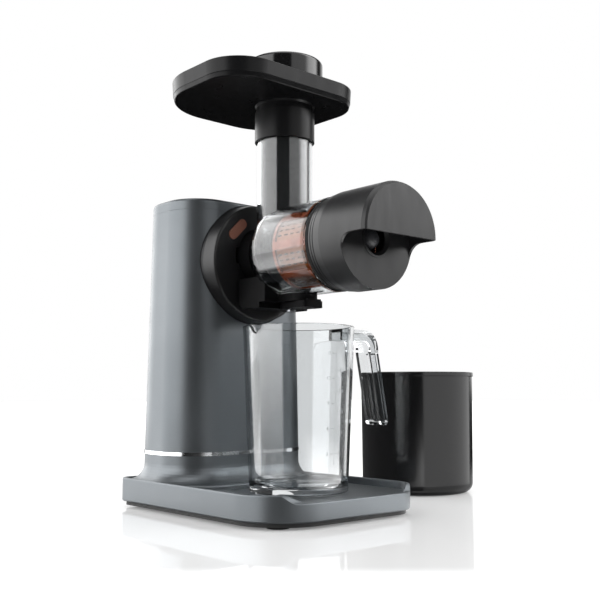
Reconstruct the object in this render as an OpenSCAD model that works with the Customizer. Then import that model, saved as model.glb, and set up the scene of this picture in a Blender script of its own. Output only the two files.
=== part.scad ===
// Cold press juicer: motor column on a tray, horizontal auger in a clear chute,
// hopper tray with pusher, jug and pulp container.
// Frame: +Z up, front towards -Y, origin on the counter under the middle of the front left
// foot. The pieces are drawn about the feed tube's axis (X = 0, Y = 0), and placed() moves
// them from there.

/* [Base] */
// Width of the base tray
base_w = 149; // [140:1:170]
// From the feed tube's axis to the front edge of the base
base_front = 77; // [70:1:95]
// From the feed tube's axis to the back edge of the base
base_back = 122; // [121:1:140]
// Radius of the base's front left corner in plan
corner_left = 44; // [30:1:50]
// Radius of the base's front right corner in plan
corner_right = 25; // [15:1:45]
// Radius of the base's back corners in plan
base_back_r = 9; // [6:1:20]
// Height of the moulding's lower edge above the counter
base_lift = 4.8; // [4:0.2:8]
// Height of the sunken floor that the jug stands on
floor_z = 18; // [16:0.5:22]
// Height of the rim round the sides and back
rim_z = 23.6; // [21:0.2:28]
// Width of the rim
rim_w = 3.4; // [3:0.1:5]
// Wall of the base moulding
base_wall = 2.6; // [2:0.1:3]
// Distance in Y over which the rim ramps down to the open front
ramp_len = 9; // [5:1:20]
// How far back from the front edge the left ramp starts
ramp_left = 3.5; // [2:0.5:10]
// How far back from the front edge the right ramp starts
ramp_right = 2.5; // [2:0.5:10]
// How far the bottom plate stands in from the base's outline
plate_inset = 3.4; // [2.8:0.1:8]
// Gap under the bottom plate
plate_gap = 1.6; // [1:0.1:2.5]
// Radius of a rubber foot
foot_r = 9; // [6:0.5:12]
// Inset of the feet from the base's sides
foot_inset = 23; // [18:1:30]

/* [Column] */
// How far the motor column stands in from the base's sides
col_inset = 7.9; // [6.5:0.1:10]
// Front face of the column at its foot
col_front = 37.1; // [35:0.1:40]
// How far the column's back stands in from the base's back edge
col_setback = 1.8; // [1.1:0.1:4]
// Corner radius of the column in plan
col_r = 35; // [25:1:38]
// Inward slope of the column's walls, in mm per mm of height
col_taper = 0.019; // [0:0.001:0.022]
// Wall of the column
col_wall = 2.6; // [2:0.1:3]
// Height of the column's top face
col_top = 248; // [246:1:265]
// Underside of the bright trim ring
trim_z = 43.4; // [35:0.2:60]
// Height of the trim ring
trim_h = 2.8; // [1.5:0.1:5]
// How far the trim ring stands proud of the column
trim_proud = 0.4; // [0.2:0.1:1]
// Radius of the flare at the column's foot
flare_r = 14; // [10:0.5:15]
// Height where the flare starts
flare_top = 36; // [34:0.5:40]
// Height of the top cover's skirt
cover_h = 9; // [8:0.5:14]
// Rounding of the top cover's edge
cover_round = 3; // [1:0.5:4]

/* [Drive axis and collar] */
// Height of the drive axis
axis_z = 202; // [200:0.5:203]
// Height of the collar's centre
collar_z = 197.3; // [197:0.1:198]
// Front face of the collar
collar_front = 29; // [27:0.5:31]
// Radius of the collar at its front face
collar_r_front = 47.5; // [46:0.5:49]
// Radius of the collar where it enters the column
collar_r = 49.2; // [48.5:0.1:49.5]
// Depth of the collar's tapered part
collar_taper_len = 12; // [8:1:16]
// Wall of the collar
collar_wall = 2.5; // [2:0.1:3]
// Back face of the collar's recess
recess_floor = 44; // [43.5:0.1:45]

/* [Controls] */
// Length of the chute release button
release_len = 21; // [16:1:24]
// Width of the chute release button
release_w = 8; // [6:0.5:8]
// Distance of the release button's centre from the drive axis
release_at = 32.3; // [31.8:0.1:34]
// Travel of the release button
release_travel = 2; // [1:0.1:2.5]
// Radius of the outer two buttons on the top
small_button_r = 7.5; // [6:0.5:8]
// Radius of the middle button on the top
big_button_r = 10; // [8.5:0.5:11]
// Spacing of the top buttons
button_pitch = 25; // [22:1:27]
// Travel of a top button
button_travel = 1.2; // [0.6:0.1:1.3]
// Half width of the glossy panel on the top
panel_hw = 42; // [40:1:44]
// Depth of the glossy panel on the top
panel_d = 34; // [28:1:38]

/* [Gear train] */
// Tooth module of the planetary gears
gear_m = 1; // [0.9:0.05:1.03]
// Teeth on the motor pinion
sun_n = 12; // [12]
// Teeth on each planet gear
planet_n = 24; // [24]
// Pressure angle of the teeth
gear_pa = 25; // [22:1:27]
// Width of the planet gears
gear_w = 9.6; // [7:0.2:10]
// Radius of a planet pin
pin_r = 2.5; // [2:0.1:3]
// Radius of the output shaft
out_r = 12; // [11:0.5:13]
// Width across the flats of the drive hexagon
hex_af = 15.6; // [12:0.2:17]

/* [Motor] */
// Radius of the motor's steel can
can_r = 33; // [32.5:0.1:34]
// Length of the motor's can
can_len = 34.5; // [34:0.1:35]
// Radius of the motor shaft
shaft_r = 3; // [2.5:0.1:3.5]
// Radius of the armature core
core_r = 26.8; // [24:0.2:27]

/* [Chute] */
// Outer radius of the clear chamber
chamber_r = 35.5; // [34:0.1:36]
// Wall of the clear chute
chute_wall = 2.4; // [1.8:0.1:2.6]
// Front edge of the chamber's full diameter
chamber_front = -62; // [-66:0.5:-60]
// Length of the spigot in front of the chamber
spigot_len = 8; // [7:0.5:10]
// Outer radius of the spigot
spigot_r = 32.6; // [32.3:0.1:32.8]
// Rounding of the chamber's shoulder
shoulder_r = 9; // [6:0.5:10]
// Where the shoulder's rounding starts
shoulder_y = -5; // [-8:0.5:-3]
// Outer radius of the clear neck
neck_r = 21.4; // [21.2:0.1:21.8]
// Back end of the neck
neck_back = 40; // [38:0.5:41]
// Outer radius of the feed tube
tube_r = 22.2; // [21.5:0.1:22.6]
// Top of the feed tube
tube_top = 319.2; // [300:0.1:340]
// Half width of the spout block
spout_hw = 25; // [20:1:28]
// Underside of the spout block
spout_z = 158; // [156:0.5:159]
// Place of the juice outlet in Y
outlet_y = -25; // [-28:0.5:-24]
// Radius of the juice outlet
outlet_r = 6; // [4:0.5:6.5]
// Half width of the anti-drip lever's paddle
lever_hw = 10; // [9:0.5:12]
// Wall of the outlet's tongue in front of the outlet
tongue_wall = 2.1; // [1.8:0.1:4]

/* [Screw and filter] */
// Outer radius of the screw in the chamber
auger_r = 26.6; // [24:0.1:26.8]
// Outer radius of the screw in the neck
auger_neck_r = 18.2; // [16:0.1:18.4]
// Thickness of the screw's flight
flight_t = 3; // [2:0.2:5]
// Turns of the flight in the chamber
flight_turns = 2.25; // [1:0.25:3]
// Radius of the screw's nose
nose_r = 8; // [6:0.5:9]
// Outer radius of the filter basket
filter_r = 30.3; // [29.8:0.1:30.4]
// Back end of the filter basket
filter_back = -21; // [-30:1:-20]
// Number of windows in the filter basket
filter_windows = 8; // [6:1:10]

/* [End cap] */
// Radius of the end cap at its back edge
cap_r_back = 34.6; // [34.5:0.1:36]
// Radius of the end cap in front
cap_r = 37; // [36:0.1:39]
// Front face of the end cap
cap_front = -125.3; // [-130:0.1:-118]
// Lower face that carries the pulp outlet
cap_face = -100.5; // [-103:0.1:-100]
// Height of the overhang's lower edge
cap_chord = 200.8; // [199:0.2:202]
// Radius under the overhang
cap_fillet = 10; // [5:0.5:14]
// Radius of the pulp outlet
pulp_r = 10.5; // [10:0.5:13]
// Wall of the end cap
cap_wall = 2.2; // [1.8:0.1:2.6]

/* [Hopper and pusher] */
// Half width of the hopper tray
tray_hw = 67; // [60:1:75]
// Centre of the hopper tray in X
tray_x = -16.5; // [-22:0.5:-10]
// Front edge of the hopper tray
tray_front = -41; // [-55:1:-38]
// Back edge of the hopper tray
tray_back = 69; // [60:1:75]
// Corner radius at the tray's front
tray_front_r = 31; // [20:1:40]
// Corner radius at the tray's back
tray_back_r = 50; // [20:1:54]
// Height of the tray's wall
tray_h = 14.7; // [10:1:30]
// Thickness of the tray's wall and floor
tray_wall = 2.4; // [2:0.1:3]
// How far the wall flares outwards
tray_flare = 1.6; // [1:0.2:6]
// Outer radius of the tray's socket
socket_r = 24; // [23.6:0.1:26]
// Length of the wide lower part of the socket
socket_len = 24; // [10:1:26]
// Depth of the socket under the tray
socket_drop = 30.1; // [22:0.2:40]
// Radius of the pusher's cap
pusher_r = 30.7; // [28:0.1:34]
// Height of the pusher's skirt above the tray's floor
pusher_skirt = 16.1; // [13:0.1:24]
// Height of the pusher's cap
pusher_cap_h = 18; // [14:1:24]
// Lower end of the pusher
pusher_end = 231; // [230:1:260]

/* [Jug] */
// Place of the jug's axis in Y
jug_y = -17; // [-20:0.5:-10]
// Radius of the jug's base
jug_r_base = 37.7; // [32:0.1:39]
// Radius of the jug's rim
jug_r_rim = 43.1; // [38:0.1:46]
// Height of the jug's rim above the counter
jug_top = 143; // [120:1:145]
// Wall of the jug
jug_wall = 2.4; // [1.8:0.1:3]
// Height of the jug's inner floor above its foot
jug_floor = 4.5; // [3:0.5:12]
// Width of the jug's handle
handle_w = 17; // [14:0.5:22]
// Thickness of the jug's handle
handle_t = 9; // [6.5:0.5:12]
// Reach of the handle at its top, from the jug's axis
handle_top_x = 80; // [74:1:90]
// Reach of the handle at its lower end, from the jug's axis
handle_end_x = 91; // [80:1:100]
// Height of the handle's lower end
handle_end_z = 65.5; // [50:0.5:90]
// Bend radius of the handle's centre line
bend_r = 11.5; // [9:0.5:16]

/* [Pulp container] */
// Place of the pulp container in X
pulp_x = 194; // [150:1:260]
// Place of the pulp container in Y
pulp_y = 33; // [-60:1:90]
// Radius of the pulp container at its base
bin_r_base = 51.5; // [45:0.5:60]
// Radius of the pulp container at its rim
bin_r_rim = 53.5; // [46:0.5:62]
// Height of the pulp container
bin_h = 111; // [80:1:130]
// Rounding of the pulp container's lower edge
bin_round = 9; // [4:0.5:14]
// Wall of the pulp container
bin_wall = 2.2; // [1.8:0.1:3]

/* [Fits] */
// Gap between pieces that come apart
gap = 0.3; // [0.2:0.05:0.4]
// Radial clearance of a running fit
run = 0.05; // [0.02:0.01:0.08]

/* [Hidden] */
$fn = 96;

grey = "#8b8f92";
black = "#1b1b1c";
steel = "#b9bcbf";
clear = [0.85, 0.88, 0.9, 0.35];
copper = "#a5592a";

// ---- helpers ----

// Points of an arc about (cx, cy) from angle a0 to a1 in n steps
function arc(cx, cy, r, a0, a1, n = 8) =
    [for (i = [0:n]) let (a = a0 + (a1 - a0) * i / n) [cx + r * cos(a), cy + r * sin(a)]];

// Left and right radius from one number or a pair
function pair(r) = is_list(r) ? r : [r, r];

// Plan with its own radii at the front (low Y; one number, or left and right) and at the back
module plan(hw, y0, y1, r0, r1, out = 0) {
    w = hw + out;
    f = y0 - out;
    b = y1 + out;
    rb = r1 + out;
    for (i = [0, 1]) mirror([1 - i, 0]) {
        rf = pair(r0)[i] + out;
        translate([-1, f + rf]) square([w + 1, b - f - rf - rb]);
        translate([-1, f]) square([w - rf + 1, b - f - rb]);
        translate([-1, f + rf]) square([w - rb + 1, b - f - rf]);
        translate([w - rf, f + rf]) circle(rf);
        translate([w - rb, b - rb]) circle(rb);
    }
}

// Straight run of an edge profile, facing angle a, centred at p
module run_of(a, p, len) {
    translate(p) rotate([0, 0, a]) rotate([90, 0, 0])
        linear_extrude(len, center = true) children();
}

// Sweeps a profile (x = outwards from the plan's edge, y = height) round the plan
module edge_sweep(hw, y0, y1, r0, r1) {
    rl = pair(r0)[0];
    rr = pair(r0)[1];
    run_of(0, [hw, (y0 + rr + y1 - r1) / 2, 0], y1 - y0 - rr - r1) children();
    run_of(180, [-hw, (y0 + rl + y1 - r1) / 2, 0], y1 - y0 - rl - r1) children();
    run_of(-90, [(rl - rr) / 2, y0, 0], 2 * hw - rl - rr) children();
    run_of(90, [0, y1, 0], 2 * (hw - r1)) children();
    for (c = [[hw - r1, y1 - r1, 0, r1], [r1 - hw, y1 - r1, 90, r1],
              [rl - hw, y0 + rl, 180, rl], [hw - rr, y0 + rr, 270, rr]])
        translate([c[0], c[1], 0]) rotate([0, 0, c[2]])
            rotate_extrude(angle = 90) translate([c[3], 0]) children();
}

// Middles of the feet; the first, front left, is the frame's origin
feet_at = [for (x = [-1, 1], y = [foot_inset - base_front, base_back - foot_inset])
    [x * (base_w / 2 - foot_inset), y]];

// Moves a piece from where it is drawn, about the feed tube's axis, to its place
module placed() {
    translate([-feet_at[0][0], -feet_at[0][1], 0]) children();
}

// Turns a profile (x = radius, y = place along Y) about an axis along Y
module turn_y(zc = axis_z) {
    translate([0, 0, zc]) rotate([-90, 0, 0]) rotate_extrude() children();
}

// Puts children, drawn along +Z, on an axis along Y that starts at y
module along_y(y, zc = axis_z) {
    translate([0, y, zc]) rotate([-90, 0, 0]) children();
}

// Ring along Y between y0 and y1
module ring_y(y0, y1, ro, ri, zc = axis_z) {
    turn_y(zc) translate([ri, y0]) square([ro - ri, y1 - y0]);
}

// Solid rod along Y
module rod_y(y0, y1, r, zc = axis_z) {
    along_y(y0, zc) cylinder(h = y1 - y0, r = r);
}

// ---- base ----
col_hw = base_w / 2 - col_inset;
col_back = base_back - col_setback;
plate_t = base_lift - plate_gap;
edge_round = 1.2;
toe_round = 2.2;
screw_r = 1.5;
screw_head_r = 3;
screw_clear = 0.05;
boss_r = 4;
base_screw_len = 8;
screw_inset = [12.5, 24.5, 38.5];
screw_y = [15 - base_front, col_front - 7, base_back - 8.5];
base_screws_at = [for (s = [-1, 1], i = [0:2])
    [s * (base_w / 2 - screw_inset[[2, 0, 1][i]]), screw_y[i]]];
vent = [3, 34];
vent_pitch = 8;
gland_z = 32;
gland_r = 7;
gland_bore = 3.6;

module base_plan(out = 0) {
    plan(base_w / 2, -base_front, base_back, [corner_left, corner_right], base_back_r, out);
}

module base_sweep() {
    edge_sweep(base_w / 2, -base_front, base_back, [corner_left, corner_right], base_back_r)
        children();
}

module column_plan(out = 0) {
    plan(col_hw, col_front, col_back, col_r, col_r, out);
}

// Side view of the rim on one side: full height at the back, an S-shaped ramp, open in front
module rim_side(side) {
    y0 = -base_front + (side < 0 ? ramp_left : ramp_right);
    ramp = [for (i = [0:12]) [y0 + ramp_len * i / 12,
        floor_z - 1 + (rim_z + 1 - floor_z) * (1 - cos(180 * i / 12)) / 2]];
    translate([(side - 1) * base_w / 2, 0, 0]) rotate([90, 0, 90]) linear_extrude(base_w)
        polygon(concat([[y0, floor_z - 3]], ramp,
            [[base_back + 5, rim_z + 1], [base_back + 5, floor_z - 3]]));
}

// Hollow curve down from the column, then a rounded step down to the floor
module flare_profile() {
    toe = flare_r * [1 - cos(75), -sin(75)] + [0, flare_top];
    polygon(concat([[-1, floor_z - 1], [-1, flare_top]],
        arc(flare_r, flare_top, flare_r, 180, 255, 8),
        arc(toe[0] + 0.3, toe[1] - toe_round, toe_round, 70, 0, 4),
        [[toe[0] + 0.3 + toe_round, floor_z - 1]]));
}

module platform() {
    placed() color(grey) difference() {
        union() {
            // skirt up to the floor's level, its upper edge rounded
            base_sweep() polygon(concat(
                [[-edge_round - base_wall, base_lift], [-1, base_lift], [0, base_lift + 1]],
                arc(-edge_round, floor_z - edge_round, edge_round, 0, 90, 5),
                [[-edge_round - base_wall, floor_z]]));
            // floor
            translate([0, 0, floor_z - base_wall]) linear_extrude(base_wall)
                base_plan(-edge_round - base_wall / 2);
            // raised rim at the sides and the back
            intersection() {
                base_sweep() polygon(concat([[0, floor_z - edge_round * 1.5]],
                    arc(-edge_round, rim_z - edge_round, edge_round, 0, 90, 5),
                    arc(edge_round - rim_w, rim_z - edge_round, edge_round, 90, 180, 5),
                    [[-rim_w - 0.8, floor_z - 0.5],
                     [-rim_w - 0.8, floor_z - edge_round * 1.5]]));
                for (side = [-1, 1]) rim_side(side);
            }
            // foot of the column
            translate([0, 0, floor_z - base_wall])
                linear_extrude(trim_z - floor_z + base_wall) column_plan();
            // flare round the column's foot; it runs into the rim at the sides
            intersection() {
                edge_sweep(col_hw, col_front, col_back, col_r, col_r) flare_profile();
                linear_extrude(flare_top) base_plan(-edge_round / 2);
            }
            // screw bosses under the floor
            for (p = base_screws_at) translate([p[0], p[1], base_lift])
                cylinder(h = floor_z - base_wall / 2 - base_lift, r = boss_r);
        }
        // hollow of the column's foot, open to the underside
        difference() {
            translate([0, 0, base_lift - 1]) linear_extrude(trim_z)
                column_plan(-col_wall);
            for (p = base_screws_at) translate([p[0], p[1], base_lift])
                cylinder(h = floor_z - base_lift, r = boss_r);
        }
        // screw holes
        for (p = base_screws_at) translate([p[0], p[1], base_lift - 1])
            cylinder(h = base_screw_len + 2, r = screw_r + screw_clear);
        // hole for the cord's gland
        along_y(col_back - 3 * col_wall, gland_z)
            cylinder(h = 6 * col_wall, r = gland_r + run);
        // flat seat of the gland's flange in the flare
        along_y(col_back, gland_z) cylinder(h = 2 * col_setback, r = gland_r + 2.2);
    }
}

module base_plate() {
    placed() color(black) difference() {
        translate([0, 0, plate_gap]) linear_extrude(plate_t) base_plan(-plate_inset);
        // pockets for the feet
        for (p = feet_at) translate([p[0], p[1], plate_gap - 1])
            cylinder(h = 1 + plate_t / 2, r = foot_r);
        // countersunk screw holes
        for (p = base_screws_at) translate([p[0], p[1], 0]) {
            translate([0, 0, plate_gap - 1]) cylinder(h = plate_t + 2, r = screw_r + screw_clear);
            translate([0, 0, plate_gap - 1]) cylinder(h = 1 + plate_t / 2, r = screw_head_r + screw_clear);
        }
        // cooling slots under the column
        for (i = [-4:4])
            translate([i * vent_pitch - vent[0] / 2, col_front + 25, plate_gap - 1])
                cube([vent[0], vent[1], plate_t + 2]);
    }
}

module feet() {
    foot_h = plate_gap + plate_t / 2;
    placed() color("#2a2a2b") for (p = feet_at) translate([p[0], p[1], 0]) rotate_extrude()
        polygon(concat([[0, 0]], arc(foot_r - 1.4, 0.9, 0.9, 270, 360, 3),
            [[foot_r - 0.2, plate_gap], [foot_r - run, foot_h], [0, foot_h]]));
}

module base_screws() {
    head_z = plate_gap + 0.2;
    placed() color(steel) for (p = base_screws_at) translate([p[0], p[1], 0]) difference() {
        union() {
            translate([0, 0, head_z]) cylinder(h = plate_t / 2 - 0.2, r = screw_head_r);
            translate([0, 0, head_z]) cylinder(h = base_screw_len, r = screw_r);
        }
        translate([0, 0, head_z - 1]) cylinder(h = 2, r = 1.1, $fn = 6);
    }
}

// ---- column ----
shell_z = trim_z + trim_h;
shell_top = col_top - cover_h;
function shrink(z) = col_taper * (z - shell_z);
cover_wall = 4;
post_r = 3;
board_t = 1.6;
board_y = col_back - 12.2;
board_hw = 32;
board_z = [62, 150];
post_inset = 6;
control = [80, 34];
button_y = col_back - 32.2;
bore_gap = 0.3;

// Tapered body of the column between z0 and z1, its walls moved out by `out`
module column_body(z0, z1, out = 0) {
    hull() for (x = [-1, 1], y = [col_front + col_r, col_back - col_r])
        translate([x * (col_hw - col_r), y, z0])
            cylinder(h = z1 - z0, r1 = col_r - shrink(z0) + out,
                r2 = col_r - shrink(z1) + out, $fn = 120);
}

// Round opening in the front that takes the collar
module collar_bore() {
    rod_y(col_front - 10, collar_back, collar_r + bore_gap, collar_z);
}

module trim_ring() {
    placed() color("#d9dcdf") translate([0, 0, trim_z]) linear_extrude(trim_h) difference() {
        column_plan(trim_proud);
        column_plan(-col_wall);
    }
}

module column_shell() {
    placed() color(grey) difference() {
        union() {
            difference() {
                column_body(shell_z, shell_top);
                column_body(shell_z - 1, shell_top + 1, -col_wall);
            }
            // posts for the power board
            for (x = [-1, 1], z = [board_z[0] + post_inset, board_z[1] - post_inset])
                translate([x * (board_hw - post_inset), 0, 0])
                    rod_y(board_y + board_t, col_back - shrink(z) - col_wall / 2, post_r, z);
        }
        collar_bore();
    }
}

module top_cover() {
    s = shrink(shell_top);
    hw = col_hw - s;
    y0 = col_front + s;
    y1 = col_back - s;
    r = col_r - s;
    placed() color(grey) difference() {
        union() {
            // rounded edge and skirt
            edge_sweep(hw, y0, y1, r, r) polygon(concat(
                [[-col_wall, shell_top], [0, shell_top]],
                arc(-cover_round, col_top - cover_round, cover_round, 0, 90, 6),
                [[-cover_round - 1, col_top], [-cover_round - 1, col_top - cover_wall],
                 [-col_wall, col_top - cover_wall]]));
            // top
            translate([0, 0, col_top - cover_wall]) linear_extrude(cover_wall)
                plan(hw, y0, y1, r, r, -cover_round);
            // spigot inside the shell
            translate([0, 0, shell_top - 3]) linear_extrude(3 + cover_h - cover_wall)
                difference() {
                    plan(hw, y0, y1, r, r, -col_wall - 0.2);
                    plan(hw, y0, y1, r, r, -col_wall - 2);
                }
            // posts for the control board
            for (x = [-1, 1], y = [-1, 1])
                translate([x * (control[0] / 2 - 4), button_y + y * (control[1] / 2 - 4),
                    board_top]) cylinder(h = col_top - cover_wall - board_top + 1, r = 2.5);
        }
        collar_bore();
        // recess of the glossy panel
        translate([0, button_y, col_top - panel_t]) linear_extrude(panel_t + 1)
            plan(panel_hw, -panel_d / 2, panel_d / 2, panel_r, panel_r, 0.1);
        // wells of the buttons and holes of their stems
        for (i = [-1:1]) translate([i * button_pitch, button_y, 0]) {
            translate([0, 0, well_z]) cylinder(h = 10, r = button_r(i) + gap);
            translate([0, 0, well_z - 10]) cylinder(h = 20, r = stem_r + gap);
        }
    }
}

// ---- controls on the top ----
panel_t = 1.6;
panel_r = 8;
button_h = 2.6;
button_proud = 0.8;
stem_r = 3;
well_z = col_top + button_proud - button_h - button_travel - 0.1;
board_top = col_top - 8.4;
switch_h = 2.6;
function button_r(i) = i == 0 ? big_button_r : small_button_r;

module control_panel() {
    placed() color(black) translate([0, button_y, col_top - panel_t]) linear_extrude(panel_t)
        difference() {
            plan(panel_hw, -panel_d / 2, panel_d / 2, panel_r, panel_r);
            for (i = [-1:1]) translate([i * button_pitch, 0]) circle(button_r(i) + gap);
        }
}

module top_button(i, c) {
    z1 = col_top + button_proud;
    r = button_r(i);
    placed() color(c) translate([i * button_pitch, button_y, 0]) {
        rotate_extrude() polygon(concat([[0, z1 - button_h], [r, z1 - button_h]],
            arc(r - 0.8, z1 - 0.8, 0.8, 0, 90, 4), [[r * 0.7, z1], [0, z1 - 0.4]]));
        translate([0, 0, board_top + switch_h + button_travel + 0.1])
            cylinder(h = z1 - button_h - board_top - switch_h - button_travel, r = stem_r);
    }
}

module power_button() { top_button(-1, "#d8d8d8"); }
module start_button() { top_button(0, "#c9713a"); }
module reverse_button() { top_button(1, "#d8d8d8"); }

module button_switches() {
    placed() color("#3a3a3a") for (i = [-1:1]) translate([i * button_pitch, button_y, board_top]) {
        translate([-3, -3, 0]) cube([6, 6, switch_h - 0.8]);
        cylinder(h = switch_h, r = 1.7);
    }
}

module control_board() {
    placed() color("#1f5a3a") translate([-control[0] / 2, button_y - control[1] / 2, board_top - board_t])
        cube([control[0], control[1], board_t]);
}

// ---- power electronics ----
module power_board() {
    placed() color("#1f5a3a") difference() {
        translate([-board_hw, board_y, board_z[0]])
            cube([2 * board_hw, board_t, board_z[1] - board_z[0]]);
        for (x = [-1, 1], z = [board_z[0] + post_inset, board_z[1] - post_inset])
            translate([x * (board_hw - post_inset), 0, 0])
                rod_y(board_y - 1, board_y + board_t + 1, screw_r, z);
    }
}

module board_parts() {
    cell = [9, 24];
    choke = [24, 20, 22];
    relay = [20, 15, 14];
    sink = [24, 16, 30];
    fin = [1.5, 4.5, 6];
    // reservoir capacitor, choke and relay
    placed() color("#24272b") {
        translate([-board_hw / 2, 0, 0])
            rod_y(board_y - cell[1], board_y, cell[0], board_z[0] + 20);
        translate([2, board_y - choke[1], board_z[0] + 10]) cube(choke);
        translate([4, board_y - relay[1], board_z[0] + 50]) cube(relay);
    }
    // heat sink
    placed() color("#9da1a5") translate([2 - sink[0] - 4, board_y, board_z[0] + 44]) {
        translate([0, -3, 0]) cube([sink[0], 3, sink[2]]);
        for (i = [0:fin[2] - 1]) translate([i * fin[1], -sink[1], 0])
            cube([fin[0], sink[1] - 2, sink[2]]);
    }
}

module cord_gland() {
    placed() color(black) along_y(0, gland_z) difference() {
        rotate_extrude() translate([0, col_back]) polygon([[gland_bore, -6], [gland_r, -6],
            [gland_r, 0], [gland_r + 1.5, 0], [gland_r + 1.2, 1.4], [gland_bore + 1, 1.6],
            [gland_bore, 1]]);
    }
}

// ---- collar ----
collar_back = 56;
face_t = 3;
plate_y = recess_floor + collar_wall;
lug_r = 26;
sleeve_r = 23.6;
sleeve_y = 16;
lug_y = [33, 36.5];
lug_half = 14;
groove_y = [32, 37.6];
lip_r = sleeve_r + 0.4;
groove_r = lug_r + 0.4;
release_angle = 139.5;
release_tilt = 45;
release_proud = 0.7;
release_depth = 6;

// Pair of wedges about the drive axis, each `half` degrees to both sides
module lug_pair(y0, y1, r, half) {
    intersection() {
        rod_y(y0, y1, r);
        for (k = [0, 180]) along_y(y0 - 1) rotate(k) linear_extrude(y1 - y0 + 2)
            polygon(concat([[0, 0]], arc(0, 0, 1.2 * r, -half, half, 4)));
    }
}

// Pill shape at the release button's place, from y over a length
module release_pill(y, len, out = 0) {
    l = release_len / 2 - release_w / 2;
    w = release_w / 2 + out;
    translate([release_at * cos(release_angle), y, axis_z + release_at * sin(release_angle)])
        rotate([0, -release_tilt, 0]) rotate([-90, 0, 0]) linear_extrude(len) {
            translate([-l, -w]) square([2 * l, 2 * w]);
            for (s = [-1, 1]) translate([s * l, 0]) circle(w);
        }
}

module collar() {
    r1 = collar_r_front;
    e = 2;
    placed() color(black) difference() {
        union() {
            // tapered shell with a rounded front edge
            turn_y(collar_z) polygon(concat(
                [[collar_r - collar_wall, collar_back], [collar_r, collar_back],
                 [collar_r, collar_front + collar_taper_len]],
                arc(r1 - e, collar_front + e, e, 0, -90, 5),
                [[0, collar_front], [0, collar_front + face_t],
                 [r1 - collar_wall - 1, collar_front + face_t],
                 [collar_r - collar_wall, collar_front + collar_taper_len]]));
            // well of the chute's neck
            ring_y(collar_front + 1, plate_y, groove_r + collar_wall, 0);
            // pocket round the release button
            release_pill(collar_front + 1, 8, 2);
        }
        // neck well with its lip, groove and the notches for the lugs
        rod_y(collar_front - 1, recess_floor, lip_r);
        rod_y(groove_y[0], groove_y[1], groove_r);
        lug_pair(collar_front - 1, groove_y[0] + 1, groove_r - 0.1, lug_half + 2);
        // hole for the output shaft
        rod_y(recess_floor - 1, plate_y + 1, out_r + 3.5);
        // slot of the release button
        release_pill(collar_front - 1, 20, gap);
        // screw holes
        for (a = [45:90:315]) drive_screw_at(a) cylinder(h = 20, r = screw_r + screw_clear);
    }
}

module release_button() {
    placed() color("#c8703c") release_pill(collar_front - release_proud, release_depth);
}

// ---- gearbox ----
ring_n = sun_n + 2 * planet_n;
orbit_r = gear_m * (sun_n + planet_n) / 2;
tooth_play = 0.12;
case_wall = 2;
case_y = plate_y;
case_front_t = 3.5;
bearing_y = [plate_y + 0.5, plate_y + 7.5];
bearing_r = out_r + 3.5;
carrier_y = [bearing_y[1] + 0.5, bearing_y[1] + 3.5];
gears_y = carrier_y[1] + 0.3;
gears_end = gears_y + gear_w;
motor_y = gears_end + 1.2;
ring_r = gear_m * ring_n / 2 + 3;
ear_at = ring_r + case_wall + 2.4;
ear_r = 3.6;
planet_angles = [90, 210, 330];
hub_y = neck_back + 0.4;
hex_depth = 9.4;

// Turning angle of an involute at radius r off a base circle rb
function unroll(rb, r) = sqrt(max(pow(r / rb, 2) - 1, 0)) * 180 / PI - acos(min(rb / r, 1));

// Outline of a spur gear: n teeth, addendum a, dedendum d, flanks thinned by play
function gear_points(n, a, d, play) =
    let (rp = gear_m * n / 2, rb = rp * cos(gear_pa), r0 = max(rb, rp - d),
         radii = [for (i = [0:4]) r0 + (rp + a - r0) * i / 4],
         half = 90 / n - play / rp * 90 / PI,
         spread = [for (r = radii) half + unroll(rb, rp) - unroll(rb, r)])
    [for (k = [0:n - 1]) let (t = 360 * k / n) each concat(
        [(rp - d) * [cos(t - spread[0]), sin(t - spread[0])]],
        [for (i = [0:4]) radii[i] * [cos(t - spread[i]), sin(t - spread[i])]],
        [for (i = [4:-1:0]) radii[i] * [cos(t + spread[i]), sin(t + spread[i])]],
        [(rp - d) * [cos(t + spread[0]), sin(t + spread[0])]])];

addendum = 0.9 * gear_m;
dedendum = 1.15 * gear_m;
drive_screw_reach = 20.6;

module drive_screw_at(a) {
    along_y(recess_floor - 1) rotate(a) translate([drive_screw_reach, 0, 0]) children();
}

module gear_case() {
    placed() color("#5b5e62") difference() {
        union() {
            turn_y() polygon([[bearing_r, case_y], [ring_r + case_wall, case_y],
                [ring_r + case_wall, motor_y], [ring_r + run, motor_y],
                [ring_r + run, case_y + case_front_t], [bearing_r + 3, case_y + case_front_t],
                [bearing_r + 3, bearing_y[1]], [bearing_r, bearing_y[1]]]);
            for (a = [45:90:315]) along_y(motor_y - 8) rotate(a)
                translate([ear_at, 0, 0]) cylinder(h = 8, r = ear_r);
        }
        // keeps the ears out of the ring gear's seat
        rod_y(case_y + case_front_t, motor_y + 1, ring_r + run);
        for (a = [45:90:315]) along_y(motor_y - 9) rotate(a)
            translate([ear_at, 0, 0]) cylinder(h = 12, r = screw_r + screw_clear);
        for (a = [45:90:315]) drive_screw_at(a)
            cylinder(h = 12, r = screw_r + screw_clear);
    }
}

module drive_screws() {
    placed() color(steel) for (a = [45:90:315]) drive_screw_at(a) difference() {
        union() {
            translate([0, 0, -0.6]) cylinder(h = 1.6, r = 2.7);
            cylinder(h = 6.2, r = screw_r);
        }
        translate([0, 0, -1]) cylinder(h = 1.4, r = 1.2, $fn = 6);
    }
}

module output_bearing() {
    placed() color("#a8793c") ring_y(bearing_y[0], bearing_y[1], bearing_r, out_r + run);
}

module ring_gear() {
    placed() color("#c9c4b4") along_y(carrier_y[0]) linear_extrude(motor_y - carrier_y[0])
        difference() {
            circle(ring_r);
            rotate(180 / ring_n)
                polygon(gear_points(ring_n, addendum + 0.35, addendum, -tooth_play));
        }
}

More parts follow.
